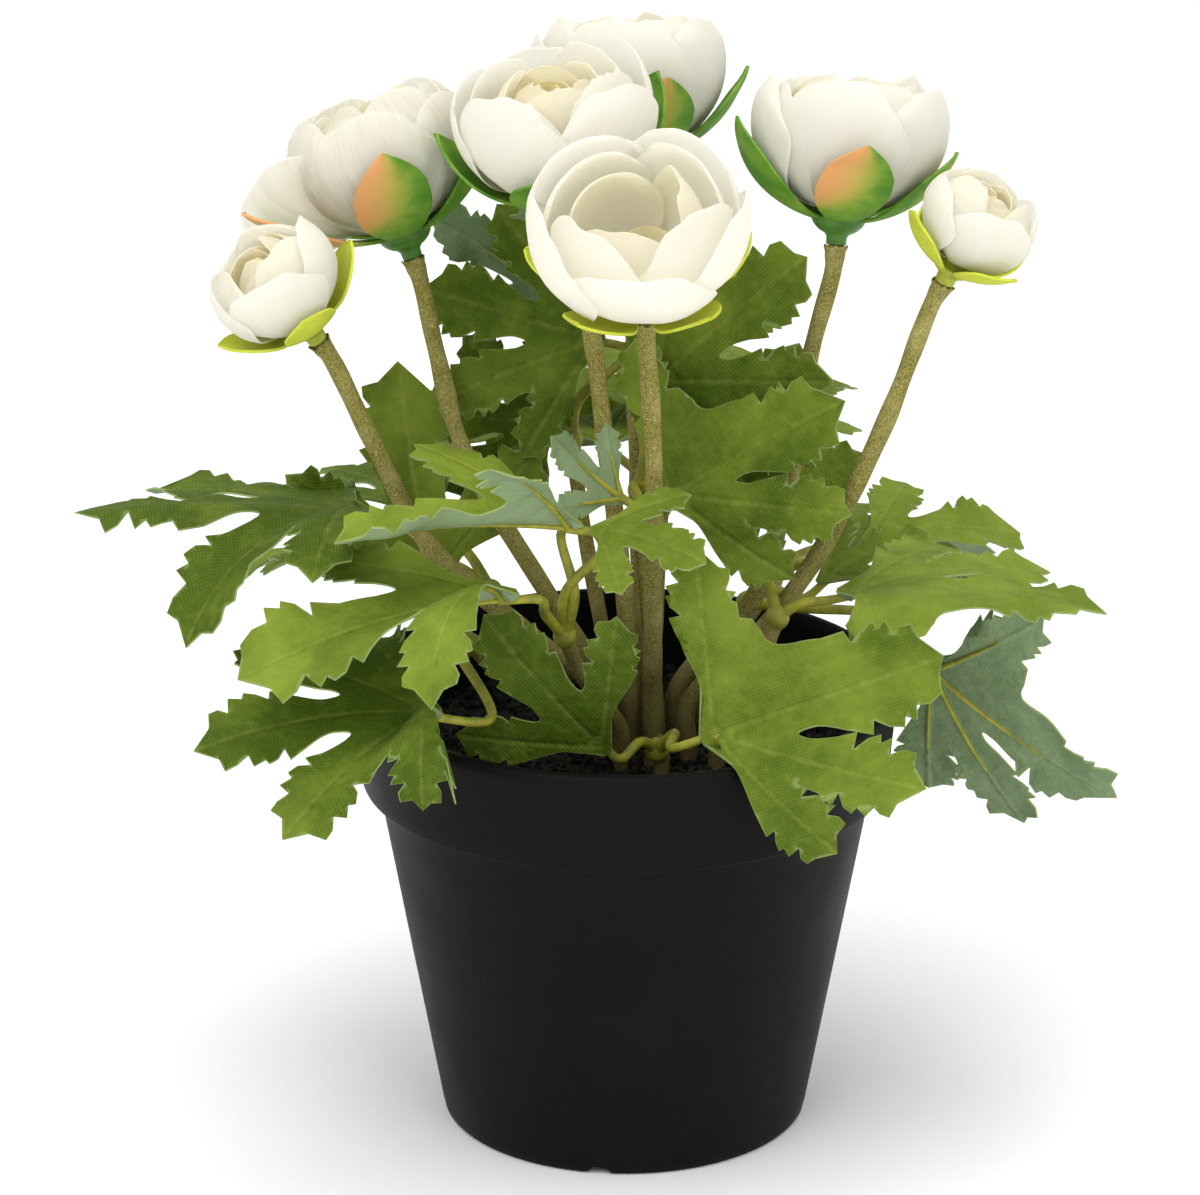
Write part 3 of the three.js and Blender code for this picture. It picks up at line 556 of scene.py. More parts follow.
@dataclass(frozen=True)
class LeafCloth:
    """Woven polyester, printed green on top and grey-green below. It is matt, with veins and a frayed rim."""

    side: LeafSide
    dark: str
    light: str
    vein: str
    thread: float = 0.75  # real threads lie 0.3 mm apart; drawn coarser, so that they show
    side_vein_step: float = 7.0  # millimetres
    fray: str = "#A5B877"
    rough: float = 0.66
    through: float = 0.2

    def make(self) -> bpy.types.Material:
        """Makes the material.

        Returns:
            The material.
        """
        f = Finish(f"printed_polyester_leaf_cloth_{self.side.value}")
        clouds = f.add(Node.NOISE, f.flat, 0.05, 4.0, 0.55)
        mottle = f.add(Node.NOISE, f.flat, 0.4, 4.0, 0.6)
        creases = f.add(Node.NOISE, f.flat, 0.13, 3.0, 0.55)
        tone, off, reach, rim = (f.add(Node.MARK, attribute_name=name)
                                 for name in ("tone", "off_rib", "reach", "rim"))
        share = f.add(Node.PLUS, f.add(Node.RAMP, clouds, 0.25, 0.75, 0.05, 0.65), tone)
        colour = f.tint(self.dark, self.light, share)
        colour = f.tint(colour, self.light, mottle, 0.4, 0.8, 0.0, 0.12)
        slant = f.add(Node.PLUS, f.add(Node.TIMES, off, 1.5), f.add(Node.TIMES, creases, 5.0))
        phase = f.add(Node.OVER, f.add(Node.MINUS, reach, slant), self.side_vein_step)
        wave = f.add(Node.SIZE, f.add(Node.MINUS, f.add(Node.REST, phase), 0.5))
        side_vein = f.add(Node.TIMES, f.add(Node.RAMP, wave, 0.12, 0.0), f.add(Node.RAMP, reach, 8.0, 18.0))
        side_vein = f.add(Node.TIMES, side_vein, f.add(Node.RAMP, creases, 0.4, 0.62, 0.0, 0.22))
        veins = f.add(Node.MOST, f.add(Node.RAMP, off, 1.1, 0.0), side_vein)
        faint = f.add(Node.TIMES, veins, f.add(Node.RAMP, mottle, 0.3, 0.7, 0.04, 0.16))
        colour = f.tint(colour, self.vein, faint)
        weave = f.weave(self.thread)
        colour = f.tint(colour, self.vein, weave, 0.25, 0.75, 0.0, 0.07)
        colour = f.tint(colour, self.fray, rim, 0.3, 0.9, 0.0, 0.45)
        groove = -0.6 if self.side is LeafSide.TOP else 0.6  # pressed in on top, so raised below
        height = f.add(Node.PLUS, f.add(Node.TIMES, weave, 0.1), f.add(Node.TIMES, veins, groove))
        height = f.add(Node.PLUS, height, f.add(Node.TIMES, creases, 3.0))
        height = f.add(Node.PLUS, height, f.add(Node.TIMES, mottle, 0.5))
        normal = f.add(Node.BUMP, height, 0.7, 0.8 * MM)
        return f.close(colour, self.rough, normal, self.through, Specular_IOR_Level=0.12)


@dataclass(frozen=True)
class SepalCloth:
    """Thick pressed cloth, sprayed with a salmon flush over green. It is matt, with a fine even grain."""

    name: str
    green: str
    pale: str
    flush: str = "#DCA066"
    between: str = "#B5AC50"
    thread: float = 0.7  # real threads lie 0.3 mm apart; drawn coarser, so that they show
    rough: float = 0.66

    def make(self) -> bpy.types.Material:
        """Makes the material.

        Returns:
            The material.
        """
        f = Finish(f"sprayed_polyester_sepal_cloth_{self.name}")
        clouds = f.add(Node.NOISE, f.flat, 0.12, 3.0, 0.55)
        grain = f.add(Node.NOISE, f.flat, 1.6, 2.0, 0.55)
        blur = f.add(Node.RAMP, clouds, 0.2, 0.8, -0.06, 0.06)
        flush = f.add(Node.PLUS, f.add(Node.MARK, attribute_name="flush"), blur)
        colour = f.tint(self.green, self.pale, clouds, 0.3, 0.75)
        colour = f.tint(colour, self.between, flush, 0.08, 0.55, 0.0, 0.95)
        colour = f.tint(colour, self.flush, flush, 0.3, 0.85)
        height = f.add(Node.PLUS, f.add(Node.TIMES, f.weave(self.thread), 0.3), f.add(Node.TIMES, grain, 0.5))
        normal = f.add(Node.BUMP, height, 0.4, 0.3 * MM)
        return f.close(colour, self.rough, normal, Specular_IOR_Level=0.15)


@dataclass(frozen=True)
class StemFlock:
    """Olive flock blown onto a plastic sleeve. It is dull, with dark specks, pale specks and broad pale
    patches that are partly painted highlight, and painted shade that darkens it towards the soil.
    """

    body: str = "#8E8645"
    dark: str = "#5A5126"
    pale: str = "#C6BC80"
    # the colour of the painted shade at the stems' foot, towards the soil
    foot: str = "#554C2B"
    speck: float = 0.45  # millimetres; real flock is 0.1 mm thick and wouldn't show
    rough: float = 0.92

    def make(self) -> bpy.types.Material:
        """Makes the material.

        Returns:
            The material.
        """
        f = Finish("flocked_polyethylene_sleeve")
        fine = f.add(Node.NOISE, f.place, 1 / self.speck, 2.0, 0.7)
        broad = f.add(Node.NOISE, f.place, 0.12, 2.0, 0.55)
        height = f.add(Node.HEIGHT, f.place)
        colour = f.tint(self.body, self.dark, fine, 0.52, 0.3)
        # Pale specks and broad pale patches: partly the flock's own paler fibres, partly painted highlight
        # where its sheen would catch the light.
        colour = f.tint(colour, self.pale, fine, 0.56, 0.74)
        colour = f.tint(colour, self.pale, broad, 0.35, 0.8, 0.0, 0.4)
        # Painted shade: the flock darkens from 128 mm down to 88 mm, towards the soil, where the leaves and
        # the pot's rim shade the stems.
        colour = f.tint(colour, self.foot, height, 128.0, 88.0, 0.0, 0.65)
        normal = f.add(Node.BUMP, fine, 0.7, 0.35 * MM)
        return f.close(colour, self.rough, normal, Specular_IOR_Level=0.12)


@dataclass(frozen=True)
class StalkPlastic:
    """Moulded polyethylene, dyed yellow-green. It is waxy, with a low broad gloss."""

    name: str
    body: str
    deep: str

    def make(self) -> bpy.types.Material:
        """Makes the material.

        Returns:
            The material.
        """
        f = Finish(f"moulded_polyethylene_{self.name}")
        clouds = f.add(Node.NOISE, f.place, 0.3, 3.0, 0.55)
        fine = f.add(Node.NOISE, f.place, 1.5, 2.0, 0.55)
        colour = f.tint(self.body, self.deep, clouds, 0.3, 0.7)
        rough = f.add(Node.RAMP, fine, 0.2, 0.8, 0.42, 0.58)
        return f.close(colour, rough, f.add(Node.BUMP, fine, 0.4, 0.15 * MM), Specular_IOR_Level=0.4)


@dataclass(frozen=True)
class PotPlastic:
    """Moulded polypropylene, black with a grey cast. It is satin, with a fine orange-peel skin and scuffs."""

    body: str = "#0B0A09"
    worn: str = "#141210"
    peel: float = 0.9  # millimetres

    def make(self) -> bpy.types.Material:
        """Makes the material.

        Returns:
            The material.
        """
        f = Finish("moulded_polypropylene_pot")
        peel = f.add(Node.NOISE, f.place, 1 / self.peel, 2.0, 0.55)
        cloud = f.add(Node.NOISE, f.place, 0.045, 4.0, 0.55)
        scuff = f.add(Node.RAMP, f.add(Node.NOISE, f.place, 0.35, 6.0, 0.75), 0.62, 0.8)
        colour = f.tint(self.body, self.worn, cloud, 0.35, 0.7, 0.0, 0.5)
        colour = f.tint(colour, self.worn, f.add(Node.TIMES, scuff, 0.25))
        rough = f.add(Node.RAMP, cloud, 0.3, 0.7, 0.46, 0.56)
        rough = f.add(Node.PLUS, rough, f.add(Node.TIMES, scuff, 0.12))
        return f.close(colour, rough, f.add(Node.BUMP, peel, 0.35, 0.12 * MM), Specular_IOR_Level=0.08)


@dataclass(frozen=True)
class GranuleGrit:
    """Crushed clay, dyed black-brown and glued. Each grain is dull, with here and there an olive glint."""

    body: str = "#0D0B09"
    pale: str = "#2A2516"

    def make(self) -> bpy.types.Material:
        """Makes the material.

        Returns:
            The material.
        """
        f = Finish("glued_clay_granules")
        grit = f.add(Node.NOISE, f.place, 0.8, 3.0, 0.55)
        tone = f.add(Node.PLUS, grit, f.add(Node.MARK, attribute_name="tone"))
        colour = f.tint(self.body, self.pale, tone, 0.55, 0.95)
        rough = f.add(Node.RAMP, grit, 0.3, 0.7, 0.5, 0.85)
        return f.close(colour, rough, f.add(Node.BUMP, grit, 0.6, 0.4 * MM), Specular_IOR_Level=0.3)


@dataclass(frozen=True)
class CastFilling:
    """Cast cement, grey and dull, which the granules hide."""

    body: str = "#9A958C"
    dark: str = "#77736B"

    def make(self) -> bpy.types.Material:
        """Makes the material.

        Returns:
            The material.
        """
        f = Finish("cast_cement")
        grit = f.add(Node.NOISE, f.place, 0.5, 5.0, 0.55)
        colour = f.tint(self.body, self.dark, grit, 0.3, 0.7)
        return f.close(colour, 0.9, f.add(Node.BUMP, grit, 0.5, 0.4 * MM))


@dataclass(frozen=True)
class FloorPaper:
    """Matt white background paper."""

    body: str = "#FFFFFF"
    grey: str = "#FAFAF9"

    def make(self) -> bpy.types.Material:
        """Makes the material.

        Returns:
            The material.
        """
        f = Finish("matt_white_paper")
        grain = f.add(Node.NOISE, f.place, 0.4, 2.0, 0.55)
        colour = f.tint(self.body, self.grey, grain, 0.2, 0.8, 0.0, 0.2)
        return f.close(colour, 0.9, f.add(Node.BUMP, grain, 0.1, 0.05 * MM), Specular_IOR_Level=0.1)


# Flowers

@dataclass(frozen=True)
class Whorl:
    """Petals that share one cup: radii are shares of the flower's, and angles run up from the bottom pole."""

    count: int
    radius: float
    root: float
    tip: float
    ups: tuple[float, ...]
    half: tuple[float, ...]
    tall: float
    turn: float
    heart: float


class Kind(Enum):
    """A full bloom or a half-open bud."""

    BLOOM = "bloom"
    BUD = "bud"


class Heart(Enum):
    """How the middle of a flower looks: close whorls, a smooth hollow cup, or whorls with torn rims."""

    CLOSE = "close"
    HOLLOW = "hollow"
    TORN = "torn"


WHORLS = {
    Kind.BLOOM: (
        Whorl(5, 1.0, 19, 116, (0.33, 0.68, 1), (35, 47, 42), 0.9, 0, 0.0),
        Whorl(4, 0.82, 20, 130, (0.5, 1), (53, 48), 0.94, 30, 0.05),
        Whorl(3, 0.61, 26, 139, (0.5, 1), (66, 60), 1.08, 10, 0.3),
        Whorl(2, 0.36, 34, 142, (0.5, 1), (80, 74), 1.5, 50, 0.7),
    ),
    Kind.BUD: (
        Whorl(4, 1.0, 24, 124, (0.33, 0.68, 1), (44, 57, 50), 0.86, 0, 0.0),
        Whorl(3, 0.7, 28, 140, (0.5, 1), (66, 58), 1.02, 40, 0.35),
    ),
}
# Whorls that stand between those above and fill the heart of the flower.
INNER_WHORLS = {
    Kind.BLOOM: (
        Whorl(4, 0.91, 24, 128, (0.5, 1), (48, 42), 0.93, 66, 0.0),
        Whorl(4, 0.72, 24, 141, (0.5, 1), (50, 46), 1.0, 8, 0.15),
        Whorl(3, 0.49, 30, 150, (0.5, 1), (64, 58), 1.25, 75, 0.5),
        Whorl(2, 0.22, 40, 158, (0.5, 1), (88, 80), 2.2, 5, 1.0),
    ),
    Kind.BUD: (
        Whorl(3, 0.85, 26, 144, (0.5, 1), (62, 56), 0.95, 75, 0.1),
        Whorl(3, 0.56, 32, 158, (0.5, 1), (66, 60), 1.25, 10, 0.4),
        Whorl(2, 0.3, 40, 162, (0.5, 1), (84, 76), 2.0, 60, 0.7),
    ),
}
SEPALS = {Kind.BLOOM: (5, 15.0, 82.0, 27.0), Kind.BUD: (4, 18.0, 76.0, 34.0)}


@dataclass(frozen=True)
class Globe:
    """The stretched globe that a petal or sepal lies on, with the flat eye that joins it to the others."""

    radius: float
    tall: float
    eye: float
    root: float
    hub: float

    WIDEST = 100.0

    def at(self, share: Array, polar: Array, turn: Array) -> Array:
        """Gives points on or near the globe.

        Args:
            share: The distances from its middle, as shares of its radius.
            polar: The angles up from the bottom pole.
            turn: The angles about the axis.

        Returns:
            The points.
        """
        p, t = np.radians(polar), np.radians(turn)
        wide = self.radius * share
        centre = self.eye + self.radius * self.tall * math.cos(math.radians(self.root))
        return np.stack([wide * np.sin(p) * np.cos(t), wide * np.sin(p) * np.sin(t),
                         centre - wide * self.tall * np.cos(p)], axis=-1)

    def cut(self, points: Array, places: tuple[Array, Array, Array, Array], thickness: float,
            corner: Sequence[float], marks: dict[str, Array]) -> Shell:
        """Gives a grid of points the thickness of cloth, and joins its root to the eye.

        Args:
            points: The points, in rows from root to tip.
            places: Each point's share of the way to the side, half spread, polar angle and turn.
            thickness: The cloth's thickness.
            corner: Where the piece lies on the flat cloth.
            marks: Named values of the points, with a row for the eye first.

        Returns:
            The petal or sepal, in the flower's own frame.
        """
        side, spread, polar, turn = places
        rows, columns = side.shape
        root, ahead = math.radians(self.root), np.radians(turn[0])
        hub = self.radius * self.hub * math.sin(root)
        ring = np.stack([hub * np.cos(ahead), hub * np.sin(ahead), np.full(columns, self.eye)], axis=1)
        width = np.radians(spread) * self.radius * np.sin(np.radians(np.minimum(polar, self.WIDEST)))
        cloth = np.stack([side * width, np.radians(polar) * self.radius], axis=-1)
        cloth = np.concatenate([cloth[0] * [1, 0], cloth.reshape(-1, 2)]) + corner
        return sheet(np.concatenate([ring, points.reshape(-1, 3)]), grid_faces(rows + 1, columns), thickness,
                     cloth, marks, (0, 0, 0))


@dataclass
class Flower:
    """One flower: its stem, the green cup with its sepals, and its petals, whorl in whorl."""

    name: str
    seed: int
    radius: float
    kind: Kind
    face: Triple
    turn: float
    stem: list[tuple[float, ...]]
    calyx_turn: float | None = None
    tall: float = 1.0
    loose_petal: int | None = None
    loose_sepals: tuple[int, ...] = ()
    sepal_tip: float | None = None
    whorl_turns: tuple[float, ...] | None = None
    tips: tuple[tuple[float, ...], ...] | None = None
    heart: Heart = Heart.CLOSE
    pleats: float = 0.25
    flush: dict[int, float] = field(default_factory=dict)

    PETAL_THICKNESS = 0.24
    SEPAL_THICKNESS = 0.6
    PETAL_GRID = (22, 19)
    SEPAL_GRID = (20, 13)
    WHORL_STEP = 1.15
    TILE_SHIFT = 0.045
    LOOSE_TIP = 94.0
    LOOSE_FLARE = 0.3
    LOOSE_TWIST = 50.0
    SEPAL_CLEARANCE = 2.0
    SHOULDER = 0.64
    FULL_RADIUS = 22.0
    STEM_DEPTH = 24.0
    STRAIGHT = 12.0
    STEM_RADII = (2.1, 1.9)
    STEM_RINGS = 72
    NECK_RUN = 5.0
    NECK = ((0, 0.3), (1.9, 0.3), (2.15, 0.45), (2.2, 1.2), (2.25, 2.0), (2.75, 2.7))
    COLLAR = ((0, -3.2), (1.85, -3.2), (2.1, -2.4), (2.3, -1), (2.65, 0.1), (2.5, 0.25), (2, -0.9), (0, -0.9))
    COLLAR_RIM = (3, 4)
    COLLAR_SIDES = 28

    def __post_init__(self) -> None:
        """Works out the heights that the petals and the green cup share."""
        self.scale = self.radius / self.FULL_RADIUS
        self.petal_eye = 4.6 + 4 * self.scale
        self.sepal_eye = self.petal_eye - 2.2
        self.place = turn_to(self.face, self.stem[-1])

    @staticmethod
    def grid(size: tuple[int, int]) -> tuple[Array, Array]:
        """Spreads a grid over a petal or sepal.

        Args:
            size: The number of rows and of columns.

        Returns:
            How far up each point is, from 0 to 1, and how far to the side, from -1 to 1.
        """
        rows, columns = size
        side, up = np.meshgrid(np.linspace(-1, 1, columns), np.linspace(0, 1, rows))
        return up, side

    def loose_stand(self, polar: Array) -> Array:
        """Says how far a loose petal or sepal stands off, as a share of the radius."""
        return self.LOOSE_FLARE * np.clip((polar - 15) / 60, 0, None) ** 1.5

    def twisted(self, points: Array, up: Array) -> Array:
        """Turns a loose petal about its own midline, so that it opens like a wing.

        Args:
            points: The petal's points, in rows from root to rim.
            up: How far up the petal each of them is, from 0 to 1.

        Returns:
            The turned points.
        """
        middle = points[:, points.shape[1] // 2][:, None, :]
        axis = unit(middle[-1, 0] - middle[0, 0])
        angle = np.radians(self.LOOSE_TWIST) * ease(0.05, 0.6, up)[:, :, None]
        off = points - middle
        along = (off @ axis)[:, :, None] * axis
        return middle + along + (off - along) * np.cos(angle) + np.cross(axis, off) * np.sin(angle)

    def petal(self, whorl: Whorl, number: int, step: float, start: float, lean: float, end: float,
              loose: bool, draws: Draws) -> Shell:
        """Shapes one petal.

        Args:
            whorl: The whorl that it belongs to.
            number: Its number in the whorl.
            step: How many steps the whorl's eye lies above the lowest one.
            start: The direction that the whorl's first petal grows in.
            lean: How far its tip leans to one side.
            end: The angle that its tip reaches.
            loose: Whether it stands away from the others.
            draws: The source of its folds and curls.

        Returns:
            The petal, in the flower's own frame.
        """
        eye = self.petal_eye + self.WHORL_STEP * step
        globe = Globe(whorl.radius * self.radius, whorl.tall * self.tall, eye, whorl.root, 0.12)
        up, side = self.grid(self.PETAL_GRID)
        up = up ** 0.9
        # How wide it is along its length, drawn in at the rim.
        spread = through((0.0, *whorl.ups), (180 / whorl.count - 7, *whorl.half), up)
        spread *= 1 - 0.1 * ease(0.82, 1.0, up)
        phase = draws.several(6) * 2 * math.pi
        # The rim's tears, scallops and rounded corners, as shares of the petal's length.
        tears = 0.03 if self.heart is Heart.TORN and whorl.radius < 0.95 else 0.006
        torn = draws.several(self.PETAL_GRID[1]) * tears * ease(0.8, 1.0, up)
        scallop = 0.016 * np.sin(side * 3.2 + phase[0]) + 0.008 * np.sin(side * 8.5 + phase[1]) + torn
        rounding = 0.2 * side ** 4 + 0.05 * side ** 2 + scallop * ease(0.2, 1.0, up)
        reach = end - (end - whorl.root) * rounding
        polar = whorl.root + (reach - whorl.root) * up
        # How far it stands off the globe: one side over the next petal, pleats, folds, a rolled rim and
        # pulled-in sides.
        tiled = self.TILE_SHIFT / whorl.radius * side * np.clip(up / 0.33, 0, 1)
        stand = self.loose_stand(polar) if loose else tiled
        pleats = 0.006 * np.sin(side * 6 + phase[2]) + 0.012 * self.pleats * np.sin(side * 15 + phase[3])
        folds = pleats * np.sin(np.pi * np.clip(up, 0, 1) ** 0.8)
        folds = folds + 0.012 * np.sin(up * 5 + phase[4]) * side * up
        depth = (0.02 + 0.05 * draws.next()) * (-1.0 if number % 3 else 0.6)
        curl = depth * ease(0.84, 1.0, up) * (0.6 + 0.4 * np.sin(side * 2.6 + phase[5]))
        cup = -0.02 * ease(0.75, 1.0, np.abs(side)) * ease(0.3, 0.8, up)
        turn = start + 360 * number / whorl.count + lean * up + side * spread
        points = globe.at(1 + stand + (folds + curl + cup) / math.sqrt(whorl.radius), polar, turn)
        if loose:
            points = self.twisted(points, up)
        height = np.concatenate([np.zeros(self.PETAL_GRID[1]), up.ravel()])
        marks = {"up": height if whorl.radius > 0.99 else np.ones_like(height),
                 "heart": np.clip(whorl.heart * (0.5 + 0.5 * height), 0, 1),
                 "pleats": np.full_like(height, self.pleats)}
        return globe.cut(points, (side, spread, polar, turn), self.PETAL_THICKNESS,
                         (whorl.radius * 90, number * 70), marks)

    def bloom(self, finish: bpy.types.Material) -> bpy.types.Object:
        """Makes the petals, whorl in whorl, round a small core.

        Args:
            finish: The petals' cloth.

        Returns:
            The object.
        """
        pile = Pile()
        draws, folds = Draws(self.seed), Draws(self.seed + 900)
        for i, whorl in enumerate(WHORLS[self.kind]):
            start = whorl.turn + (self.whorl_turns[i] if self.whorl_turns else self.turn)
            for number in range(whorl.count):
                lean = draws.spread(4)
                loose = i == 0 and number == self.loose_petal
                tip = self.tips[i][number] if self.tips else whorl.tip
                end = (self.LOOSE_TIP if loose else tip) + draws.spread(6)
                pile.add(self.petal(whorl, number, i, start, lean, end, loose, folds))
        for i, whorl in enumerate(INNER_WHORLS[self.kind]):
            if self.heart is Heart.HOLLOW or (self.heart is Heart.TORN and whorl.radius > 0.6):
                continue
            for number in range(whorl.count):
                end = whorl.tip + folds.spread(7)
                start = whorl.turn + self.turn
                pile.add(self.petal(whorl, number, i + 0.5, start, folds.spread(6), end, False, folds))
        wide, low = self.radius * (0.1 if self.heart is Heart.HOLLOW else 0.15), self.petal_eye
        dome = [(wide * out, low + wide * up) for out, up in ((1, 1.5), (0.9, 3.2), (0.5, 4.2), (0, 4.4))]
        core = lathe([(0, low), (wide * 0.7, low + 1), *dome], 16, 0)
        core.marks = {mark: np.ones(len(core.points)) for mark in ("up", "heart")}
        pile.add(core)
        pile.move(self.place)
        return pile.make(f"petals_{self.name}", [finish], f"bloom_{self.name}", "petal_fabric")

    def sepal(self, number: int, azimuth: float, lean: float, end: float, flare: float,
              draws: Draws) -> Shell:
        """Shapes one sepal.

        Args:
            number: Its number.
            azimuth: The direction that it grows in.
            lean: How far its tip leans to one side.
            end: The angle that its tip reaches.
            flare: How far its tip stands off, as a share of the radius.
            draws: The source of its ripples.

        Returns:
            The sepal, in the flower's own frame.
        """
        count, root, _, half = SEPALS[self.kind]
        globe = Globe(self.radius * (1 + self.TILE_SHIFT) + self.SEPAL_CLEARANCE,
                      WHORLS[self.kind][0].tall * self.tall, self.sepal_eye, root, 0.35)
        up, side = self.grid(self.SEPAL_GRID)
        # How wide it is along its length: a smooth body, and a tip that tapers to a point.
        curve = (0, 0.45, 0.76), (180 / count - 12, half, half * 0.68)
        taper = np.clip((up - self.SHOULDER) / (1 - self.SHOULDER), 0, 1)
        point = float(through(*curve, np.array(self.SHOULDER))) * (1 - taper ** 1.4) ** 0.85
        spread = np.maximum(np.where(up < self.SHOULDER, through(*curve, up), point), 0.6)
        polar = root + (end - root) * up
        stand = self.loose_stand(polar) if number in self.loose_sepals else flare * up ** 2
        # How far it stands off the globe besides its flare: ripples, a curled tip and a crease in the middle.
        phase = draws.several(3) * 2 * math.pi
        ripple = 0.012 * np.sin(up * 7 + phase[0]) * side + 0.01 * np.sin(up * 4 + phase[1])
        tip_curl = 0.1 * draws.next() * ease(0.75, 1.0, up)
        crown = 0.012 * (1 - side ** 2) - 0.008 * np.exp(-(side / 0.12) ** 2)
        turn = azimuth + lean * up + side * spread
        points = globe.at(1 + stand + ripple * up + tip_curl + crown, polar, turn)
        # The flush, which deepens to one side and towards the tip.
        towards = self.flush.get(number, 0.0)
        deep = 0.42 + 0.55 * np.sign(towards) * side + 0.55 * (up - 0.6)
        tinge = abs(towards) * deep * ease(0.1, 0.5, up)
        flush = np.clip(np.concatenate([np.zeros(self.SEPAL_GRID[1]), tinge.ravel()]), 0, 1)
        return globe.cut(points, (side, spread, polar, turn), self.SEPAL_THICKNESS, (number * 40, 0),
                         {"flush": flush})

    def calyx(self, finishes: Finishes) -> bpy.types.Object:
        """Makes the neck on the stem and the sepals.

        Args:
            finishes: The sepals' cloth and the neck's plastic.

        Returns:
            The object.
        """
        pile = Pile()
        wide, seat, neck, low = 2 + 3.2 * self.scale, self.petal_eye - 0.55, *self.NECK[-1]
        flare, height = wide + 0.9 - neck, self.sepal_eye - 2.5
        rise = [(neck + flare * math.sin(t * math.pi / 2), low + height * t ** 1.3)
                for t in np.linspace(0, 1, 7)[1:]]
        cup = [(wide, self.sepal_eye + 0.5), (2 + 2 * self.scale, seat), (0, seat)]
        pile.add(lathe([*self.NECK, *rise, *cup], 32, 1))
        draws, folds = Draws(self.seed + 500), Draws(self.seed + 1500)
        count, _, usual_tip, _ = SEPALS[self.kind]
        start = self.turn + 20 if self.calyx_turn is None else self.calyx_turn
        for number in range(count):
            lean = draws.spread(6)
            end = (self.sepal_tip or usual_tip) + draws.spread(7)
            pile.add(self.sepal(number, start + 360 * number / count, lean, end, 0.1 * draws.next(), folds))
        pile.move(self.place)
        slot = "bud_sepal_fabric" if self.kind is Kind.BUD else "sepal_fabric"
        return pile.make(f"green_cup_{self.name}", finishes, f"calyx_{self.name}", slot)

    def collar(self, draws: Draws) -> Shell:
        """Makes the torn end of the flocked sleeve, which flares out under the green cup.

        Args:
            draws: The source of its tears.

        Returns:
            The collar, in the part's frame.
        """
        tears = draws.several(self.COLLAR_SIDES)

        def torn(points: Array) -> Array:
            """Tears the rim and moves the collar to the top of the stem.

            Args:
                points: The collar's points.

            Returns:
                The moved points.
            """
            rings = points[:-2].reshape(-1, self.COLLAR_SIDES, 3)
            for ring in self.COLLAR_RIM:
                rings[ring, :, 2] += 0.9 * tears - 0.6
                rings[ring, :, :2] *= (1 + 0.1 * np.roll(tears, 3) - 0.05)[:, None]
            return self.place(np.concatenate([rings.reshape(-1, 3), points[-2:]]))

        return lathe(self.COLLAR, self.COLLAR_SIDES, 0, torn)

    def stalk(self, finish: bpy.types.Material) -> bpy.types.Object:
        """Makes the flocked stem, from its hole in the granules up to the green cup.

        Args:
            finish: The flock.

        Returns:
            The object.
        """
        top = np.array(self.stem[-1])
        foot = [(*self.stem[0], SOIL_TOP + high) for high in (-self.STEM_DEPTH, 1, self.STRAIGHT)]
        neck = top - self.NECK_RUN * unit(self.face)
        route = smooth_route([*foot, *self.stem[1:-1], tuple(neck), tuple(top)], self.STEM_RINGS)
        along = np.linspace(0, 1, self.STEM_RINGS)
        length = run_length(route)[-1]
        draws = Draws(self.seed + 300)
        low, high = self.STEM_RADII
        radii = low - (low - high) * along
        # Small uneven waves, a knot part of the way up, and a bulge under the green cup.
        for _ in range(7):
            radii += 0.05 * np.sin(along * (12 + 50 * draws.next()) + 6.3 * draws.next())
        knot_at = 0.42 + 0.2 * draws.next()
        radii += 0.22 * np.exp(-((along - knot_at) * length / 2.2) ** 2)
        radii += 0.3 * np.exp(-(((1 - along) * length - 1.6) / 1.3) ** 2)
        pile = Pile()
        pile.add(tube(route, radii, 20, 0))
        pile.add(self.collar(draws))
        return pile.make(f"flocked_stem_{self.name}", [finish], f"stem_{self.name}", "flocked_stem")


FLOWERS = (
    Flower("back", 12, 21.5, Kind.BLOOM, (-0.04, 0.28, 1), 48,
           [(3, 6), (3, 12, 125), (2, 22, 165), (1, 35, 203.5)], calyx_turn=76, flush={3: -1.0, 4: 0.2}),
    Flower("left", 25, 21, Kind.BLOOM, (-0.3, 0.14, 0.92), 52,
           [(-5, 3), (-15, 6, 115), (-35, 9, 150), (-41, 11, 172), (-46, 13, 193)],
           calyx_turn=56, loose_petal=2, loose_sepals=(1, 2), pleats=1.0, flush={2: 0.9, 3: -1.0}),
    Flower("centre", 31, 21.5, Kind.BLOOM, (-0.1, -0.14, 1), 22,
           [(1, -2), (0, -1, 120), (-4, 1, 152), (-8, 1, 184), (-12.5, 0, 204.5)],
           heart=Heart.TORN, pleats=0.15),
    Flower("front", 47, 23, Kind.BLOOM, (-0.06, -0.42, 0.9), 0,
           [(6, -12), (6, -14, 110), (6, -18, 130), (6, -25, 160), (4, -34, 194)], tall=0.92,
           sepal_tip=60, whorl_turns=(-18, 15, 0, 0),
           tips=((116, 116, 116, 116, 101), (132, 134, 128, 132), (139, 139, 126), (72, 66)),
           heart=Heart.HOLLOW, pleats=0.05),
    Flower("right", 60, 21, Kind.BLOOM, (0.1, 0.2, 1), 40,
           [(11, 0), (28, 4, 118), (35, 6, 142), (40, 5, 174), (45, 3, 199)],
           calyx_turn=57, flush={3: -1.0, 4: 0.8}),
    Flower("right_bud", 61, 12.5, Kind.BUD, (0.42, -0.12, 0.86), 10,
           [(14, -7), (29, -7, 114), (42, -10, 134), (55, -15, 164), (67, -18, 197)]),
    Flower("left_bud", 73, 14, Kind.BUD, (-0.5, -0.22, 0.82), 0,
           [(-4, -6), (-15, -7, 109), (-42, -10, 135), (-54, -14, 160), (-65, -18, 184)]),
)


# Leaves

@dataclass(frozen=True)
class Lobe:
    """One lobe of a leaf: its angle from the main lobe, and sizes as shares of the leaf's length."""

    angle: float
    length: float
    half: float
    teeth: int


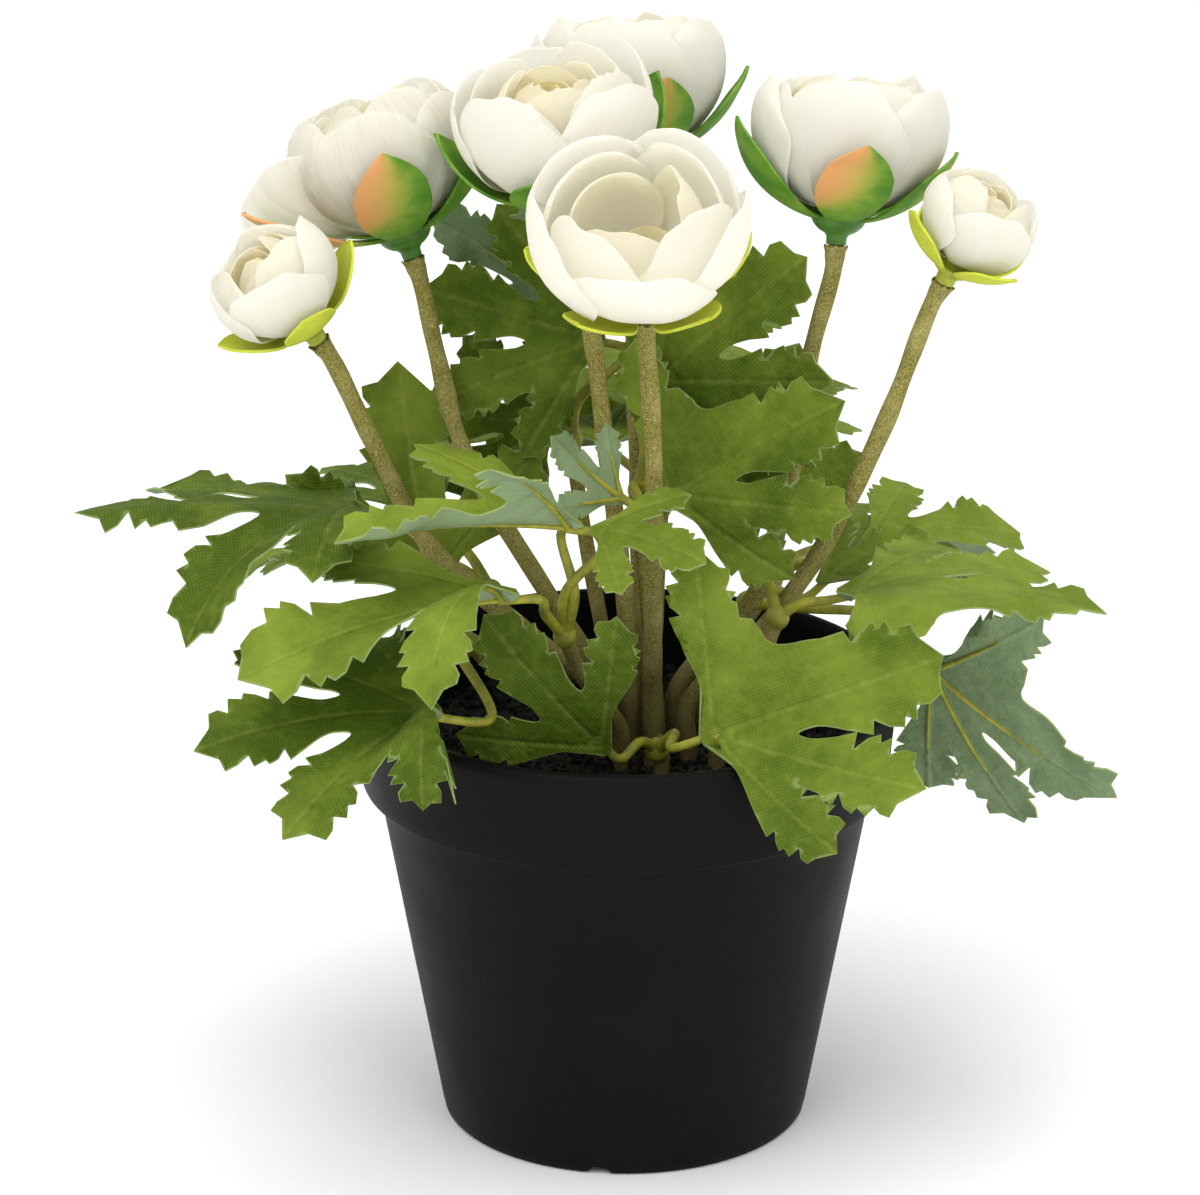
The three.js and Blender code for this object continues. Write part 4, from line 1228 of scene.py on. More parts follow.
@dataclass(frozen=True)
class LeafDie:
    """A cutting die for leaves: its lobes from right to left, and how far out the notches between are."""

    lobes: tuple[Lobe, ...]
    sinuses: tuple[float, ...]

    TAB_LENGTH = 0.06
    TAB_HALF = 0.022
    NECK_AT = 0.3
    NECK_SHARE = 0.12
    WIDEST_AT = 0.7
    LAST_TOOTH = 0.95
    SLIT = 0.013

    def lobe_side(self, lobe: Lobe, neck_at: float, neck_half: float, draws: Draws) -> list[Pair]:
        """Draws one edge of a lobe from its neck to just short of its tip.

        Args:
            lobe: The lobe.
            neck_at: How far out the edge starts, as a share of the lobe's length.
            neck_half: The half width there.
            draws: The source of the teeth's sizes.

        Returns:
            Pairs of distance along the lobe and half width, as shares of the lobe's length.
        """
        half = lobe.half / lobe.length
        start = neck_at + (self.WIDEST_AT - neck_at) * self.NECK_AT
        narrow = neck_half + (half - neck_half) * self.NECK_SHARE

        def envelope(t: float) -> float:
            """Gives the half width without its teeth.

            Args:
                t: The share of the way along the lobe.

            Returns:
                The half width.
            """
            if t < self.WIDEST_AT:
                return narrow + (half - narrow) * float(ease(start, self.WIDEST_AT, t)) ** 0.85
            fall = (t - self.WIDEST_AT) / (1 - self.WIDEST_AT)
            return half * max(0.0, 1 - 0.86 * fall ** 2.6) ** 0.62

        edge = [(t, envelope(t)) for t in np.linspace(start, 0.55, 9)]
        at, number = 0.6 + 0.05 * draws.next(), 0
        while at < self.LAST_TOOTH:
            coarse = number % 3 != 1
            depth = 0.035 + 0.035 * draws.next() if coarse else 0.014 + 0.012 * draws.next()
            step = 0.09 + 0.04 * draws.next() if coarse else 0.05 + 0.02 * draws.next()
            edge.append((at, envelope(at) * (1.03 + 0.05 * draws.next())))
            edge.append((at + self.SLIT, max(envelope(at + self.SLIT) - depth, 0.014)))
            if coarse and at + step < self.LAST_TOOTH:
                edge.append((at + step * 0.55, envelope(at + step * 0.55) - depth * 0.2))
            at += step
            number += 1
        return edge

    def outline(self, draws: Draws) -> Array:
        """Draws the cut outline of a leaf of length 1, anticlockwise, with its stalk at 0, 0.

        Args:
            draws: The source of the teeth's sizes.

        Returns:
            The outline's points.
        """
        pairs = zip(self.sinuses, self.lobes, self.lobes[1:])
        notches = [radius * heading((low.angle + high.angle) / 2) for radius, low, high in pairs]
        path: list[Array] = [np.array([-self.TAB_LENGTH, -self.TAB_HALF])]
        for lobe, before, after in zip(self.lobes, [None, *notches], [*notches, None]):
            along = heading(lobe.angle)
            across = np.array([-along[1], along[0]])
            for side, notch in ((-1, before), (1, after)):
                neck = (0.04, 0.03)
                if notch is not None:
                    neck = (float(notch @ along) / lobe.length, abs(float(notch @ across)) / lobe.length)
                edge = [(along * t + across * side * w) * lobe.length
                        for t, w in self.lobe_side(lobe, *neck, draws)]
                path += edge + [along * lobe.length] if side < 0 else edge[::-1]
            if after is not None:
                path.append(after)
        path.append(np.array([-self.TAB_LENGTH, self.TAB_HALF]))
        return self.rounded(np.array(path), notches)

    @staticmethod
    def rounded(path: Array, notches: Sequence[Array]) -> Array:
        """Rounds the notches between the lobes.

        Args:
            path: The outline's points.
            notches: Those of them that are notches.

        Returns:
            The outline with each notch spread over a few points.
        """
        made: list[Array] = []
        for before, point, after in zip(np.roll(path, 1, axis=0), path, np.roll(path, -1, axis=0)):
            if any(np.allclose(point, notch) for notch in notches):
                for t in np.linspace(0.12, 0.88, 7):
                    wide = (1 - t) ** 2 * before + 2 * t * (1 - t) * point + t ** 2 * after
                    made.append(0.35 * wide + 0.65 * (point + (wide - point) * 1.35))
            else:
                made.append(point)
        return np.array(made)


class Form(Enum):
    """The three dies that the leaves are cut with."""

    BROAD = LeafDie((Lobe(-76, 0.76, 0.14, 1), Lobe(-38, 0.93, 0.17, 2), Lobe(0, 1.0, 0.21, 2),
                     Lobe(38, 0.93, 0.17, 2), Lobe(76, 0.76, 0.14, 1)), (0.43, 0.3, 0.3, 0.43))
    SPLIT = LeafDie((Lobe(-62, 0.76, 0.15, 2), Lobe(-33, 0.94, 0.165, 2), Lobe(0, 1.0, 0.215, 3),
                     Lobe(76, 0.78, 0.14, 2)), (0.44, 0.29, 0.42))
    SLENDER = LeafDie((Lobe(-46, 0.8, 0.15, 1), Lobe(0, 1.0, 0.21, 2), Lobe(46, 0.8, 0.15, 1)), (0.32, 0.32))


@dataclass
class Leaf:
    """One leaf: where its stalk meets it, its main tip, the way its left side points, and how its lobes bend.

    A turned leaf hangs with its grey-green side up.
    """

    base: Triple
    tip: Triple
    left: Triple
    form: Form
    arch: float
    fold: float
    lift: tuple[float, ...] = ()
    droop: tuple[float, ...] = ()
    mirror: bool = False
    turned: bool = False

    THICKNESS = 0.42
    GRID = 1.7
    FRAY = 0.22
    RIB_SHARE = 0.62
    TWIST = 0.22
    TONE = 0.36
    STALK_STEPS = 26

    def __post_init__(self) -> None:
        """Works out the leaf's frame, with x along its main lobe, y to its left and z up, and its draws."""
        base, tip = np.array(self.base, dtype=float), np.array(self.tip, dtype=float)
        self.forward = unit(tip - base)
        self.normal = unit(np.cross(self.forward, self.left))
        self.side = np.cross(self.normal, self.forward) * (-1 if self.mirror else 1)
        half = math.radians(self.arch) / 2
        self.length = float(np.linalg.norm(tip - base)) * half / math.sin(half)
        self.draws = Draws(int(abs(base @ [7.0, 13.0, 29.0])) + 5)
        count = len(self.form.value.lobes)
        self.twist = np.array([self.draws.spread(self.TWIST) for _ in range(count)])
        self.wave_phase = self.draws.several(count) * 6.3
        self.tone = self.draws.spread(self.TONE)

    def to_part(self, points: Array) -> Array:
        """Moves points from the leaf's frame into the part's."""
        return np.array(self.base) + points @ np.stack([self.forward, self.side, self.normal])

    def across_lobes(self, values: Sequence[float], angle: Array) -> Array:
        """Spreads a value set for each lobe smoothly over the angles between them.

        Args:
            values: The values, from right to left, or none for 0.
            angle: Where they are wanted, in degrees from the main lobe.

        Returns:
            The values there.
        """
        lobes = self.form.value.lobes
        if not values:
            return np.zeros_like(angle)
        made = np.full_like(angle, values[0])
        for (low, start), (high, end) in zip(zip(lobes, values), zip(lobes[1:], values[1:])):
            between_lobes = start + (end - start) * ease(low.angle, high.angle, angle)
            made = np.where(angle > low.angle, between_lobes, made)
        return made

    def bend(self, flat: Array) -> tuple[Array, Array]:
        """Bends flat places of the leaf.

        Args:
            flat: Places on the flat leaf as shares of its length.

        Returns:
            The points in the part's frame, and each one's distance from the nearest rib in millimetres.
        """
        x, y = flat[:, 0], flat[:, 1]
        radius = np.hypot(x, y)
        angle = np.degrees(np.arctan2(y, x))
        arch = np.radians(self.arch + self.across_lobes(self.droop, angle))
        arch = np.where(np.abs(arch) < 1e-6, 1e-6, arch)
        rise = np.radians(self.arch / 2 + self.across_lobes(self.lift, angle))
        out = (np.sin(rise) - np.sin(rise - arch * radius)) / arch
        ribs = np.array([lobe.angle for lobe in self.form.value.lobes])
        nearest = np.argmin(np.abs(angle[:, None] - ribs[None, :]), axis=1)
        signed = radius * np.sin(np.radians(angle - ribs[nearest]))
        off = np.abs(signed)
        lobed = ease(0.42, 0.75, radius)
        buckle = np.sin(x * 17 + self.wave_phase[0]) * np.cos(y * 14 + self.wave_phase[-1])
        # The arch, the fold along each rib, the lobe's twist, waves along its edges and soft buckles.
        high = ((np.cos(rise - arch * radius) - np.cos(rise)) / arch
                + self.fold * (np.sqrt(off ** 2 + 0.0004) - 0.02)
                + self.twist[nearest] * signed * lobed
                + 0.02 * np.sin(radius * 15 + self.wave_phase[nearest]) * ease(0.02, 0.16, off) * lobed
                + 0.011 * buckle * ease(0.2, 0.5, radius) * ease(0.0, 0.08, off))
        angle = np.radians(angle)
        bent = np.stack([out * np.cos(angle), out * np.sin(angle), high], axis=1)
        bent[x < 0] = np.stack([x, y, np.zeros_like(x)], axis=1)[x < 0]
        return self.to_part(bent * self.length), off * self.length

    def filling(self, outline: Array, rib_spots: Array) -> Array:
        """Spreads spots over the blade, clear of its edge and ribs, with a row just inside the edge.

        Args:
            outline: The cut outline, as shares of the leaf's length.
            rib_spots: The spots along the ribs.

        Returns:
            The spots.
        """
        step = self.GRID / self.length
        gx, gy = np.meshgrid(np.arange(-0.05, 1.0, step), np.arange(-0.9, 0.9, step * 0.87))
        gx = gx + (np.arange(gx.shape[0]) % 2)[:, None] * step / 2
        spots = np.stack([gx.ravel(), gy.ravel()], axis=1)
        clear = self.inside(spots, outline)
        for crowd, gap in ((outline, 0.62), (rib_spots, 0.6)):
            distance = np.linalg.norm(spots[:, None, :] - crowd[None, :, :], axis=2)
            clear &= np.min(distance, axis=1) > step * gap
        ahead, behind = np.roll(outline, -1, axis=0) - outline, outline - np.roll(outline, 1, axis=0)
        along = unit_rows(ahead) + unit_rows(behind)
        hem = outline + unit_rows(np.stack([-along[:, 1], along[:, 0]], axis=1)) * self.FRAY / self.length
        return np.concatenate([spots[clear], hem[self.inside(hem, outline)]])

    def blade(self) -> Shell:
        """Cuts and bends the blade.

        Returns:
            The blade, in the part's frame.
        """
        outline = self.form.value.outline(self.draws)
        edge = len(outline)
        runs = [np.arange(0.03, lobe.length - 0.03, self.GRID / self.length)[:, None] * heading(lobe.angle)
                for lobe in self.form.value.lobes]
        rib_spots = np.concatenate(runs)
        keep = self.inside(rib_spots, outline)
        lasts = set(np.cumsum([len(run) for run in runs]) - 1)
        links = [(k, (k + 1) % edge) for k in range(edge)]
        links += [(edge + k, edge + k + 1) for k in range(len(rib_spots))
                  if k not in lasts and keep[k] and keep[k + 1]]
        spots = [Vector(p) for p in np.concatenate([outline, rib_spots, self.filling(outline, rib_spots)])]
        verts, _, faces, origins, _, _ = delaunay_2d_cdt(spots, links, [], 1, 1e-5)
        flat = np.array([tuple(v) for v in verts])
        triangles = np.array([tuple(face) for face in faces if len(face) == 3])
        triangles = triangles[self.inside(flat[triangles].mean(axis=1), outline)]
        a, b, c = (flat[triangles[:, k]] for k in range(3))
        area = (b - a)[:, 0] * (c - a)[:, 1] - (b - a)[:, 1] * (c - a)[:, 0]
        flipped = (area < 0) != self.mirror
        triangles[flipped] = triangles[flipped][:, ::-1]
        rim = np.array([0.0 if origin and min(origin) >= edge else 1.0 for origin in origins])
        points, off = self.bend(flat)
        marks = {"rim": rim, "off_rib": off, "reach": np.hypot(flat[:, 0], flat[:, 1]) * self.length,
                 "tone": np.full(len(flat), self.tone)}
        cloth = flat * self.length + [self.base[0] * 3, self.base[2] * 3]
        return sheet(points, triangles, self.THICKNESS, cloth, marks, (1, 0, 2) if self.turned else (0, 1, 2))

    @staticmethod
    def inside(spots: Array, outline: Array) -> Array:
        """Says which spots an outline winds round.

        Args:
            spots: The spots.
            outline: The outline's points.

        Returns:
            Whether each spot lies inside.
        """
        ahead = np.roll(outline, -1, axis=0)
        x, y = spots[:, 0][:, None], spots[:, 1][:, None]
        rises = (outline[:, 1] <= y) & (ahead[:, 1] > y)
        falls = (outline[:, 1] > y) & (ahead[:, 1] <= y)
        slope = np.where(np.abs(ahead[:, 1] - outline[:, 1]) < TINY, TINY, ahead[:, 1] - outline[:, 1])
        at = outline[:, 0] + (y - outline[:, 1]) / slope * (ahead[:, 0] - outline[:, 0])
        return np.sum((rises & (x < at)).astype(int) - (falls & (x < at)).astype(int), axis=1) != 0

    def ribs(self) -> list[Shell]:
        """Moulds the ribs that run under the blade along its lobes.

        Returns:
            The ribs, in the part's frame.
        """
        made = []
        for lobe in self.form.value.lobes:
            run = np.linspace(0.0, lobe.length * self.RIB_SHARE, 14)
            angle = math.radians(lobe.angle)
            centre, ahead, beside = (self.bend(np.stack([(run + dr) * math.cos(angle + da),
                                                         (run + dr) * math.sin(angle + da)], axis=1))[0]
                                     for dr, da in ((0.001, 0.0), (0.006, 0.0), (0.001, 0.02)))
            normals = np.cross(ahead - centre, beside - centre) * (-1 if self.mirror else 1)
            normals[0] = normals[1] = normals[2]
            normals = unit_rows(normals)
            radii = np.linspace(0.72, 0.24, len(run))
            under = 1 if self.turned else -1
            route = centre + normals * under * (self.THICKNESS / 2 + radii[:, None] * 0.55)
            made.append(tube(route, radii, 7, 3))
        return made

    def stalk(self, fork: Array) -> Shell:
        """Moulds the stalk from the fork to the under face of the blade.

        Args:
            fork: Where the spray forks.

        Returns:
            The stalk, in the part's frame.
        """
        base = np.array(self.base, dtype=float)
        span = float(np.linalg.norm(base - fork))
        end = self.to_part(np.array([0.6, 0.0, 0.75 if self.turned else -0.75]))
        before = self.to_part(np.array([-0.3 * span, 0.0, -0.1 * span - 0.7]))
        after = fork + (base - fork) * 0.3 + UP * 0.08 * span
        along = np.linspace(0, 1, self.STALK_STEPS)
        radii = np.linspace(1.3, 0.92, self.STALK_STEPS) + 0.35 * np.exp(-(along / 0.08) ** 2)
        return tube(smooth_route([fork, after, before, end], self.STALK_STEPS), radii, 10, 3)


@dataclass
class Spray:
    """A forked spray of leaves on a short flocked stem."""

    name: str
    foot: tuple[float, float]
    fork: Triple
    leaves: list[Leaf]

    DEPTH = 15.0
    STEM_RADIUS = 1.9
    STEM_STEPS = 36

    def fork_knuckle(self) -> Shell:
        """Moulds the knuckle where the leaf stalks part."""
        bulge = [(2.45 * math.sqrt(1 - (0.94 * h) ** 2) + 0.12, 2.6 * h) for h in np.linspace(-1, 1, 9)]
        return lathe([(0.0, -2.7), *bulge, (0.0, 2.7)], 18, 3, lambda points: points + np.array(self.fork))

    def build(self, finishes: Finishes) -> bpy.types.Object:
        """Makes the spray.

        Args:
            finishes: The cloth's top, under side and cut edge, the moulded stalks, and the flocked stem.

        Returns:
            The object.
        """
        pile = Pile()
        fork = np.array(self.fork, dtype=float)
        foot = [np.array([*self.foot, SOIL_TOP + high]) for high in (-self.DEPTH, 1.0, 8.0)]
        lean = fork + (np.array([*self.foot, SOIL_TOP]) - fork) * 0.3
        along = np.linspace(0, 1, self.STEM_STEPS)
        radii = self.STEM_RADIUS * (1 - 0.15 * along) + 0.08 * np.sin(along * 21 + fork[0])
        radii += 0.35 * ease(0.93, 1.0, along)
        pile.add(tube(smooth_route([*foot, lean, fork], self.STEM_STEPS), radii, 16, 4))
        pile.add(self.fork_knuckle())
        for leaf in self.leaves:
            pile.add(leaf.blade())
            pile.add(leaf.stalk(fork))
            for rib in leaf.ribs():
                pile.add(rib)
        return pile.make(f"leaves_{self.name}", finishes, f"leaf_spray_{self.name}", "leaf_fabric")


SPRAYS = (
    Spray("left_front", (-1, -13), (-13, -22, 119), [
        Leaf((-12, -33, 148), (-61, -45, 148), (0.05, -1, -0.1), Form.SLENDER, 20, 0.1,
             (10, 0, 40), (0, 0, 10)),
        Leaf((-26, -39, 134), (-81, -57, 122), (0.1, -1, -0.2), Form.SLENDER, 25, 0.12,
             (0, 0, 50), (0, 0, 150)),
        Leaf((-6, -33, 147), (17, -46, 144), (0.5, 0.8, 0.5), Form.SLENDER, 35, 0.15)]),
    Spray("front_foot", (8, -19), (7, -20, 92), [
        Leaf((-5, -33, 98), (-30, -33, 128), (-0.7, 0.1, -0.6), Form.SLENDER, 25, 0.1),
        Leaf((19, -47, 106), (67, -47, 124), (-0.35, 0.3, 0.9), Form.SPLIT, 15, 0.1,
             (40, 25, 0, 0), (80, 45, 0, 0))]),
    Spray("left", (-11, -2), (-34, 2, 108), [
        Leaf((-58, -4, 141), (-119, -8, 142), (-0.2, -0.95, 0.2), Form.BROAD, 15, 0.12,
             (0, 0, 0, 0, 12), (0, 0, 0, 62, 70)),
        Leaf((-43, 15, 118), (-50, 22, 167), (-1, 0.15, -0.2), Form.SLENDER, 20, 0.1),
        Leaf((-42, -42, 109), (-91, -52, 104), (0.1, -0.92, -0.34), Form.BROAD, 30, 0.1,
             (0, 0, 0, 0, 60), (40, 0, 0, 10, 200))]),
    Spray("right", (20, -12), (33, -13, 120), [
        Leaf((49, -13, 126), (104, -16, 122), (-0.3, 0.93, -0.05), Form.SPLIT, 25, 0.12,
             (0, 0, 0, 10), (0, 0, 0, 110), mirror=True),
        Leaf((24, 11, 136), (38, 20, 172), (-1, 0, 0.2), Form.SLENDER, 25, 0.1)]),
    Spray("centre", (7, -5), (3, 5, 143), [
        Leaf((10, -6, 146), (47, -12, 169), (-0.42, 0.42, 0.72), Form.SPLIT, 30, 0.12, (), (40, 0, 0, 0)),
        Leaf((7, 9, 167), (39, 5, 196), (-0.5, 0.4, 0.75), Form.BROAD, 25, 0.1),
        Leaf((-1, -10, 146), (-16, -12, 161), (0.7, 0.7, 0.2), Form.SLENDER, 20, 0.12)]),
    Spray("upper_left", (-3, 11), (-12, 25, 148), [
        Leaf((-7, 22, 172), (-45, 30, 181), (-0.16, -0.4, -0.9), Form.BROAD, 25, 0.1),
        Leaf((-16, 30, 150), (-46, 34, 152), (-0.2, -0.3, -0.9), Form.BROAD, 30, 0.1),
        Leaf((-14, 36, 176), (-43, 42, 194), (0.4, -0.6, 0.8), Form.SLENDER, 20, 0.1)]),
    Spray("right_back", (17, 6), (27, 13, 114), [
        Leaf((68, 6, 101), (109, 0, 73), (0.38, -0.54, 0.65), Form.SPLIT, 20, 0.1, turned=True),
        Leaf((44, 20, 117), (68, 31, 124), (-0.3, 0.9, 0.2), Form.SLENDER, 30, 0.1)]),
    Spray("back", (6, 13), (8, 32, 130), [
        Leaf((14, 50, 142), (26, 100, 146), (-1, 0.2, 0.1), Form.BROAD, 35, 0.12),
        Leaf((-4, 48, 140), (-24, 94, 132), (-0.9, -0.5, 0), Form.BROAD, 40, 0.12),
        Leaf((10, 42, 160), (20, 66, 190), (-1, 0.2, 0.1), Form.SLENDER, 30, 0.1)]),
    Spray("back_left", (-12, 8), (-30, 26, 112), [
        Leaf((-50, 42, 116), (-92, 68, 98), (-0.5, -0.85, 0.1), Form.BROAD, 45, 0.12),
        Leaf((-44, 44, 124), (-70, 70, 126), (-0.6, -0.75, 0.1), Form.SLENDER, 30, 0.1)]),
    Spray("back_right", (13, 14), (33, 34, 112), [
        Leaf((46, 48, 116), (82, 82, 100), (-0.7, 0.7, 0.1), Form.BROAD, 45, 0.12),
        Leaf((54, 36, 118), (90, 54, 116), (-0.3, 0.95, 0.2), Form.SLENDER, 40, 0.12)]),
)


# Pot and filling

def between(start: Pair, end: Pair, low: float, high: float, count: int) -> list[Pair]:
    """Spreads places evenly from one share of a straight line to another."""
    return [(start[0] + (end[0] - start[0]) * t, start[1] + (end[1] - start[1]) * t)
            for t in np.linspace(low, high, count)]


@dataclass
class Pot:
    """A 12 cm nursery pot: a tapered body, a stepped band under the rim, and notches in the foot ring."""

    height: float = 101
    rim_radius: float = 60
    bevel_radius: float = 58.9
    bevel_height: float = 1.8
    band_height: float = 22.5
    band_bottom_radius: float = 58
    body_top_radius: float = 54.6
    foot_radius: float = 40.5
    wall: float = 1.9
    floor: float = 2.4
    sides: int = 256
    notch_angles: tuple[float, ...] = (-98, -8, 82, 172)
    notch_half: float = 2.6
    notch_height: float = 1.5

    def profile(self) -> list[Pair]:
        """Draws the wall's section, from the axis under the floor round to the axis above it.

        Returns:
            Pairs of radius and height.
        """
        foot, body = self.foot_radius, self.body_top_radius
        band, bevel = self.band_bottom_radius, self.bevel_radius
        inner, high = bevel - self.wall, self.height
        low, top = high - self.band_height, high - self.bevel_height
        return [(0.0, 0.0), (foot - 4.0, 0.0), (foot - 0.5, 0.0), (foot, 0.5),
                *between((foot, 0.0), (body, low - 0.5), 0.03, 1.0, 14),
                (body + 0.15, low - 0.2), (body + 0.5, low), (band - 0.5, low), (band - 0.1, low + 0.15),
                (band + 0.1, low + 0.6), *between((band, low), (self.rim_radius, top), 0.15, 0.93, 6),
                (self.rim_radius - 0.05, top - 0.3), (self.rim_radius - 0.1, top + 0.2),
                (bevel + 0.35, high - 0.25), (bevel, high), (inner + 0.4, high), (inner, high - 0.4),
                *between((inner, high), (body - self.wall, low), 0.1, 1.0, 6),
                (foot - self.wall, self.floor), (0.0, self.floor)]

    def notched(self, points: Array) -> Array:
        """Lifts the foot ring at its notches.

        Args:
            points: The pot's points.

        Returns:
            The points with the notches.
        """
        angle = np.degrees(np.arctan2(points[:, 1], points[:, 0]))
        radius = np.hypot(points[:, 0], points[:, 1])
        for notch in self.notch_angles:
            off = np.abs((angle - notch + 180) % 360 - 180) * np.pi / 180 * self.foot_radius
            lift = self.notch_height * (1 - ease(self.notch_half * 0.6, self.notch_half, off))
            low = (points[:, 2] < 1.0) & (radius > self.foot_radius - 2)
            points[:, 2] = np.where(low, np.maximum(points[:, 2], lift), points[:, 2])
        return points

    def build(self, finish: bpy.types.Material) -> bpy.types.Object:
        """Makes the pot.

        Args:
            finish: Its plastic.

        Returns:
            The object.
        """
        pile = Pile()
        pile.add(lathe(self.profile(), self.sides, 0, self.notched))
        return pile.make("nursery_pot", [finish], "pot", "pot_plastic")


@dataclass
class Granules:
    """Grains glued over a bed that fills the pot to a little below its rim."""

    top: float = SOIL_TOP
    bottom: float = 70.0
    dome: float = 1.4
    top_radius: float = 53.6
    bottom_radius: float = 50.7
    grains: int = 2600
    seed: int = 5

    BED_DROP = 0.9
    CORNERS = 12

    def height_at(self, radius: Array) -> Array:
        """Gives the height of the domed bed at a distance from the axis."""
        return self.top - self.BED_DROP - self.dome * (radius / self.top_radius) ** 2

    def build(self, finish: bpy.types.Material) -> bpy.types.Object:
        """Makes the bed and its grains.

        Args:
            finish: The grains' finish.

        Returns:
            The object.
        """
        pile = Pile()
        dome = [(r, float(self.height_at(np.array(r)))) for r in (50.0, 42.0, 32.0, 20.0, 8.0, 0.0)]
        pile.add(lathe([(0.0, self.bottom), (self.bottom_radius, self.bottom),
                        (self.top_radius, self.top - self.dome - 1.0), *dome], 64, 0))
        random = np.random.default_rng(self.seed)
        golden = (1 + 5 ** 0.5) / 2
        corners = np.array([(s, t * golden, 0) for s in (-1, 1) for t in (-1, 1)])
        grain = unit_rows(np.concatenate([np.roll(corners, k, axis=1) for k in range(3)]))
        faces = self.hull(grain)
        count = self.grains
        radius = np.sqrt(random.uniform(0, 1, count)) * (self.top_radius - 1.4)
        angle = random.uniform(0, 2 * math.pi, count)
        size = random.uniform(0.7, 1.5, count)
        centres = np.stack([radius * np.cos(angle), radius * np.sin(angle),
                            self.height_at(radius) + size * random.uniform(-0.2, 0.45, count)], axis=1)
        stretch = random.uniform(0.65, 1.3, (count, self.CORNERS, 1))
        squash = random.uniform(0.6, 1.1, (count, 1, 3))
        points = (centres[:, None, :] + grain[None] * stretch * squash * size[:, None, None]).reshape(-1, 3)
        every = (faces[None] + np.arange(count)[:, None, None] * self.CORNERS).reshape(-1, 3)
        tone = np.repeat(random.uniform(-0.35, 0.35, count), self.CORNERS)
        pile.add(Shell(points, [tuple(f) for f in every.tolist()], [0] * len(every), points[:, :2].copy(),
                       {"tone": tone}))
        return pile.make("granule_bed", [finish], "soil_granules", "soil_granules")

    def hull(self, corners: Array) -> Array:
        """Finds the twenty faces of an icosahedron.

        Args:
            corners: Its corners.

        Returns:
            The faces, anticlockwise seen from outside.
        """
        side = min(np.linalg.norm(corners[0] - c) for c in corners[1:])
        faces = []
        for trio in combinations(range(self.CORNERS), 3):
            a, b, c = corners[list(trio)]
            if max(np.linalg.norm(a - b), np.linalg.norm(b - c), np.linalg.norm(a - c)) < side * 1.01:
                faces.append(trio if np.cross(b - a, c - a) @ a > 0 else (trio[0], trio[2], trio[1]))
        return np.array(faces)


# Studio

@dataclass
class Lamp:
    """A soft square lamp that points at the middle of the plant."""

    name: str
    place: Triple
    size: float
    power: float
    colour: str = "#FFFFFF"
    aim: Triple = (0.0, 0.0, 0.13)

    def build(self) -> bpy.types.Object:
        """Makes the lamp.

        Returns:
            The lamp.
        """
        light = bpy.data.lights.new(self.name, "AREA")
        light.size, light.energy, light.color = self.size, self.power, linear(self.colour)[:3]
        lamp = show(self.name, light)
        lamp.location = self.place
        lamp.rotation_euler = (Vector(self.aim) - Vector(self.place)).to_track_quat("-Z", "Y").to_euler()
        return lamp


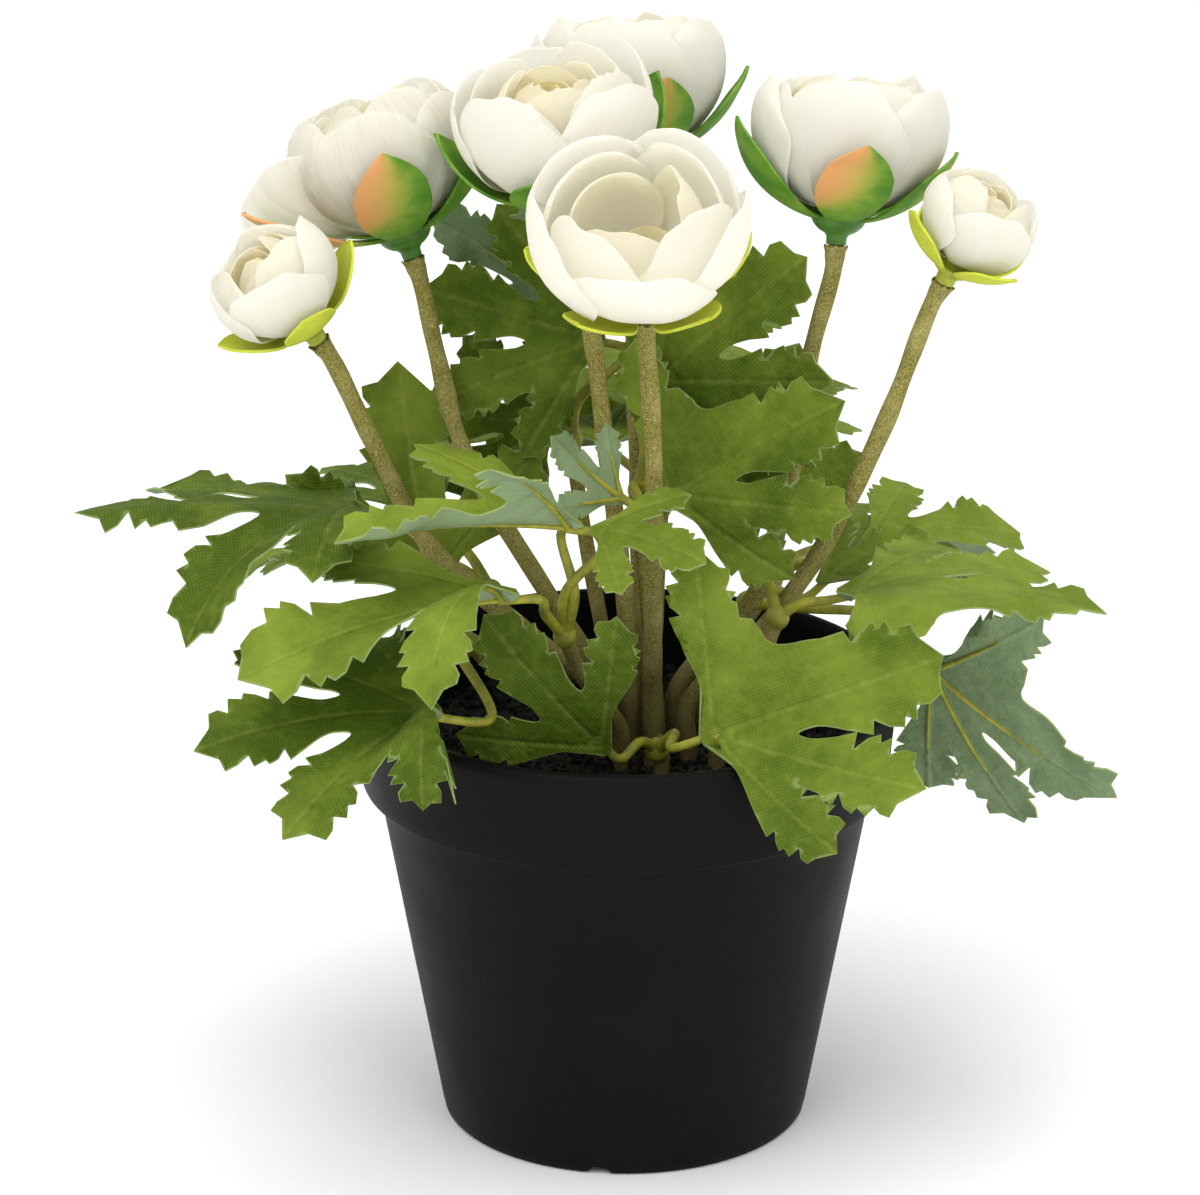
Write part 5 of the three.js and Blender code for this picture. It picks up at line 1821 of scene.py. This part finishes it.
@dataclass
class Studio:
    """A white paper floor, a white surround, soft lamps, and the camera at the photograph's angle."""

    lens: float = 167.7
    camera_place: Triple = (0.0, -1.15, 0.5355)
    pitch: float = 0.3468
    yaw: float = 0.0048
    surround: float = 0.78
    floor_reach: float = 6.0
    floor_drop: float = 0.0002
    lamps: tuple[Lamp, ...] = (
        Lamp("key_lamp", (-0.7, -0.95, 1.3), 1.3, 9.0),
        Lamp("fill_lamp", (0.9, -1.1, 0.8), 1.2, 5.0),
        Lamp("top_lamp", (0.0, 0.1, 1.5), 1.2, 9.5),
    )

    def camera(self) -> bpy.types.Object:
        """Makes the camera.

        Returns:
            The camera.
        """
        data = bpy.data.cameras.new("camera")
        data.lens, data.sensor_width, data.sensor_fit = self.lens, 36.0, "HORIZONTAL"
        data.clip_end = 50.0
        camera = show("camera", data)
        camera.location = self.camera_place
        camera.rotation_euler = (math.pi / 2 - self.pitch, 0.0, self.yaw)
        bpy.context.scene.camera = camera
        return camera

    def world(self) -> None:
        """Makes the white surround, which is brighter seen straight on than as a light."""
        world = bpy.data.worlds.new("white_surround")
        tree = Tree(world)
        strength = tree.add(Node.RAMP, tree.add(Node.LIGHT_PATH), 0.0, 1.0, self.surround, 1.0)
        tree.add(Node.WORLD_END, tree.add(Node.BACKGROUND, "#FFFFFF", strength))
        bpy.context.scene.world = world

    def floor(self, finish: bpy.types.Material) -> bpy.types.Object:
        """Lays the paper floor.

        Args:
            finish: The paper.

        Returns:
            The floor.
        """
        mesh = bpy.data.meshes.new("paper_floor")
        line = np.linspace(-self.floor_reach, self.floor_reach, 9)
        points = [(float(x), float(y), -self.floor_drop) for y in line for x in line]
        mesh.from_pydata(points, [], grid_faces(len(line), len(line)).tolist())
        mesh.materials.append(finish)
        floor = show("paper_floor", mesh)
        return floor

    def build(self) -> None:
        """Sets up everything but the plant."""
        self.camera()
        self.world()
        self.floor(FloorPaper().make())
        for lamp in self.lamps:
            lamp.build()
        bpy.context.scene.view_settings.view_transform = "Standard"


def main() -> None:
    """Builds the studio and the plant."""
    logging.basicConfig(level=logging.INFO, format="%(name)s: %(message)s")
    Studio().build()
    LOG.info("studio ready")
    Pot().build(PotPlastic().make())
    Granules().build(GranuleGrit().make())
    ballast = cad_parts["ballast_block"]
    ballast.data.materials.clear()
    ballast.data.materials.append(CastFilling().make())
    petal, flock = PetalCloth().make(), StemFlock().make()
    green = [SepalCloth("green", "#54882A", "#7FA43C").make(),
             StalkPlastic("green_cup", "#54842F", "#3D6A24").make()]
    lime = [SepalCloth("lime", "#BEC63A", "#CDD44E").make(),
            StalkPlastic("lime_cup", "#AFB43E", "#8F9A34").make()]
    for flower in FLOWERS:
        flower.stalk(flock)
        flower.calyx(lime if flower.kind is Kind.BUD or flower.name == "front" else green)
        flower.bloom(petal)
    leaf = [LeafCloth(LeafSide.TOP, "#48600F", "#97AB3C", "#C2CA66").make(),
            LeafCloth(LeafSide.UNDER, "#7A9368", "#A3B88C", "#B4C496").make(),
            LeafCloth(LeafSide.CUT, "#8FA763", "#A5B877", "#A5B877").make(),
            StalkPlastic("leaf_stalk", "#A9A32E", "#7F8430").make(), flock]
    for spray in SPRAYS:
        spray.build(leaf)


if __name__ == "__main__":
    main()
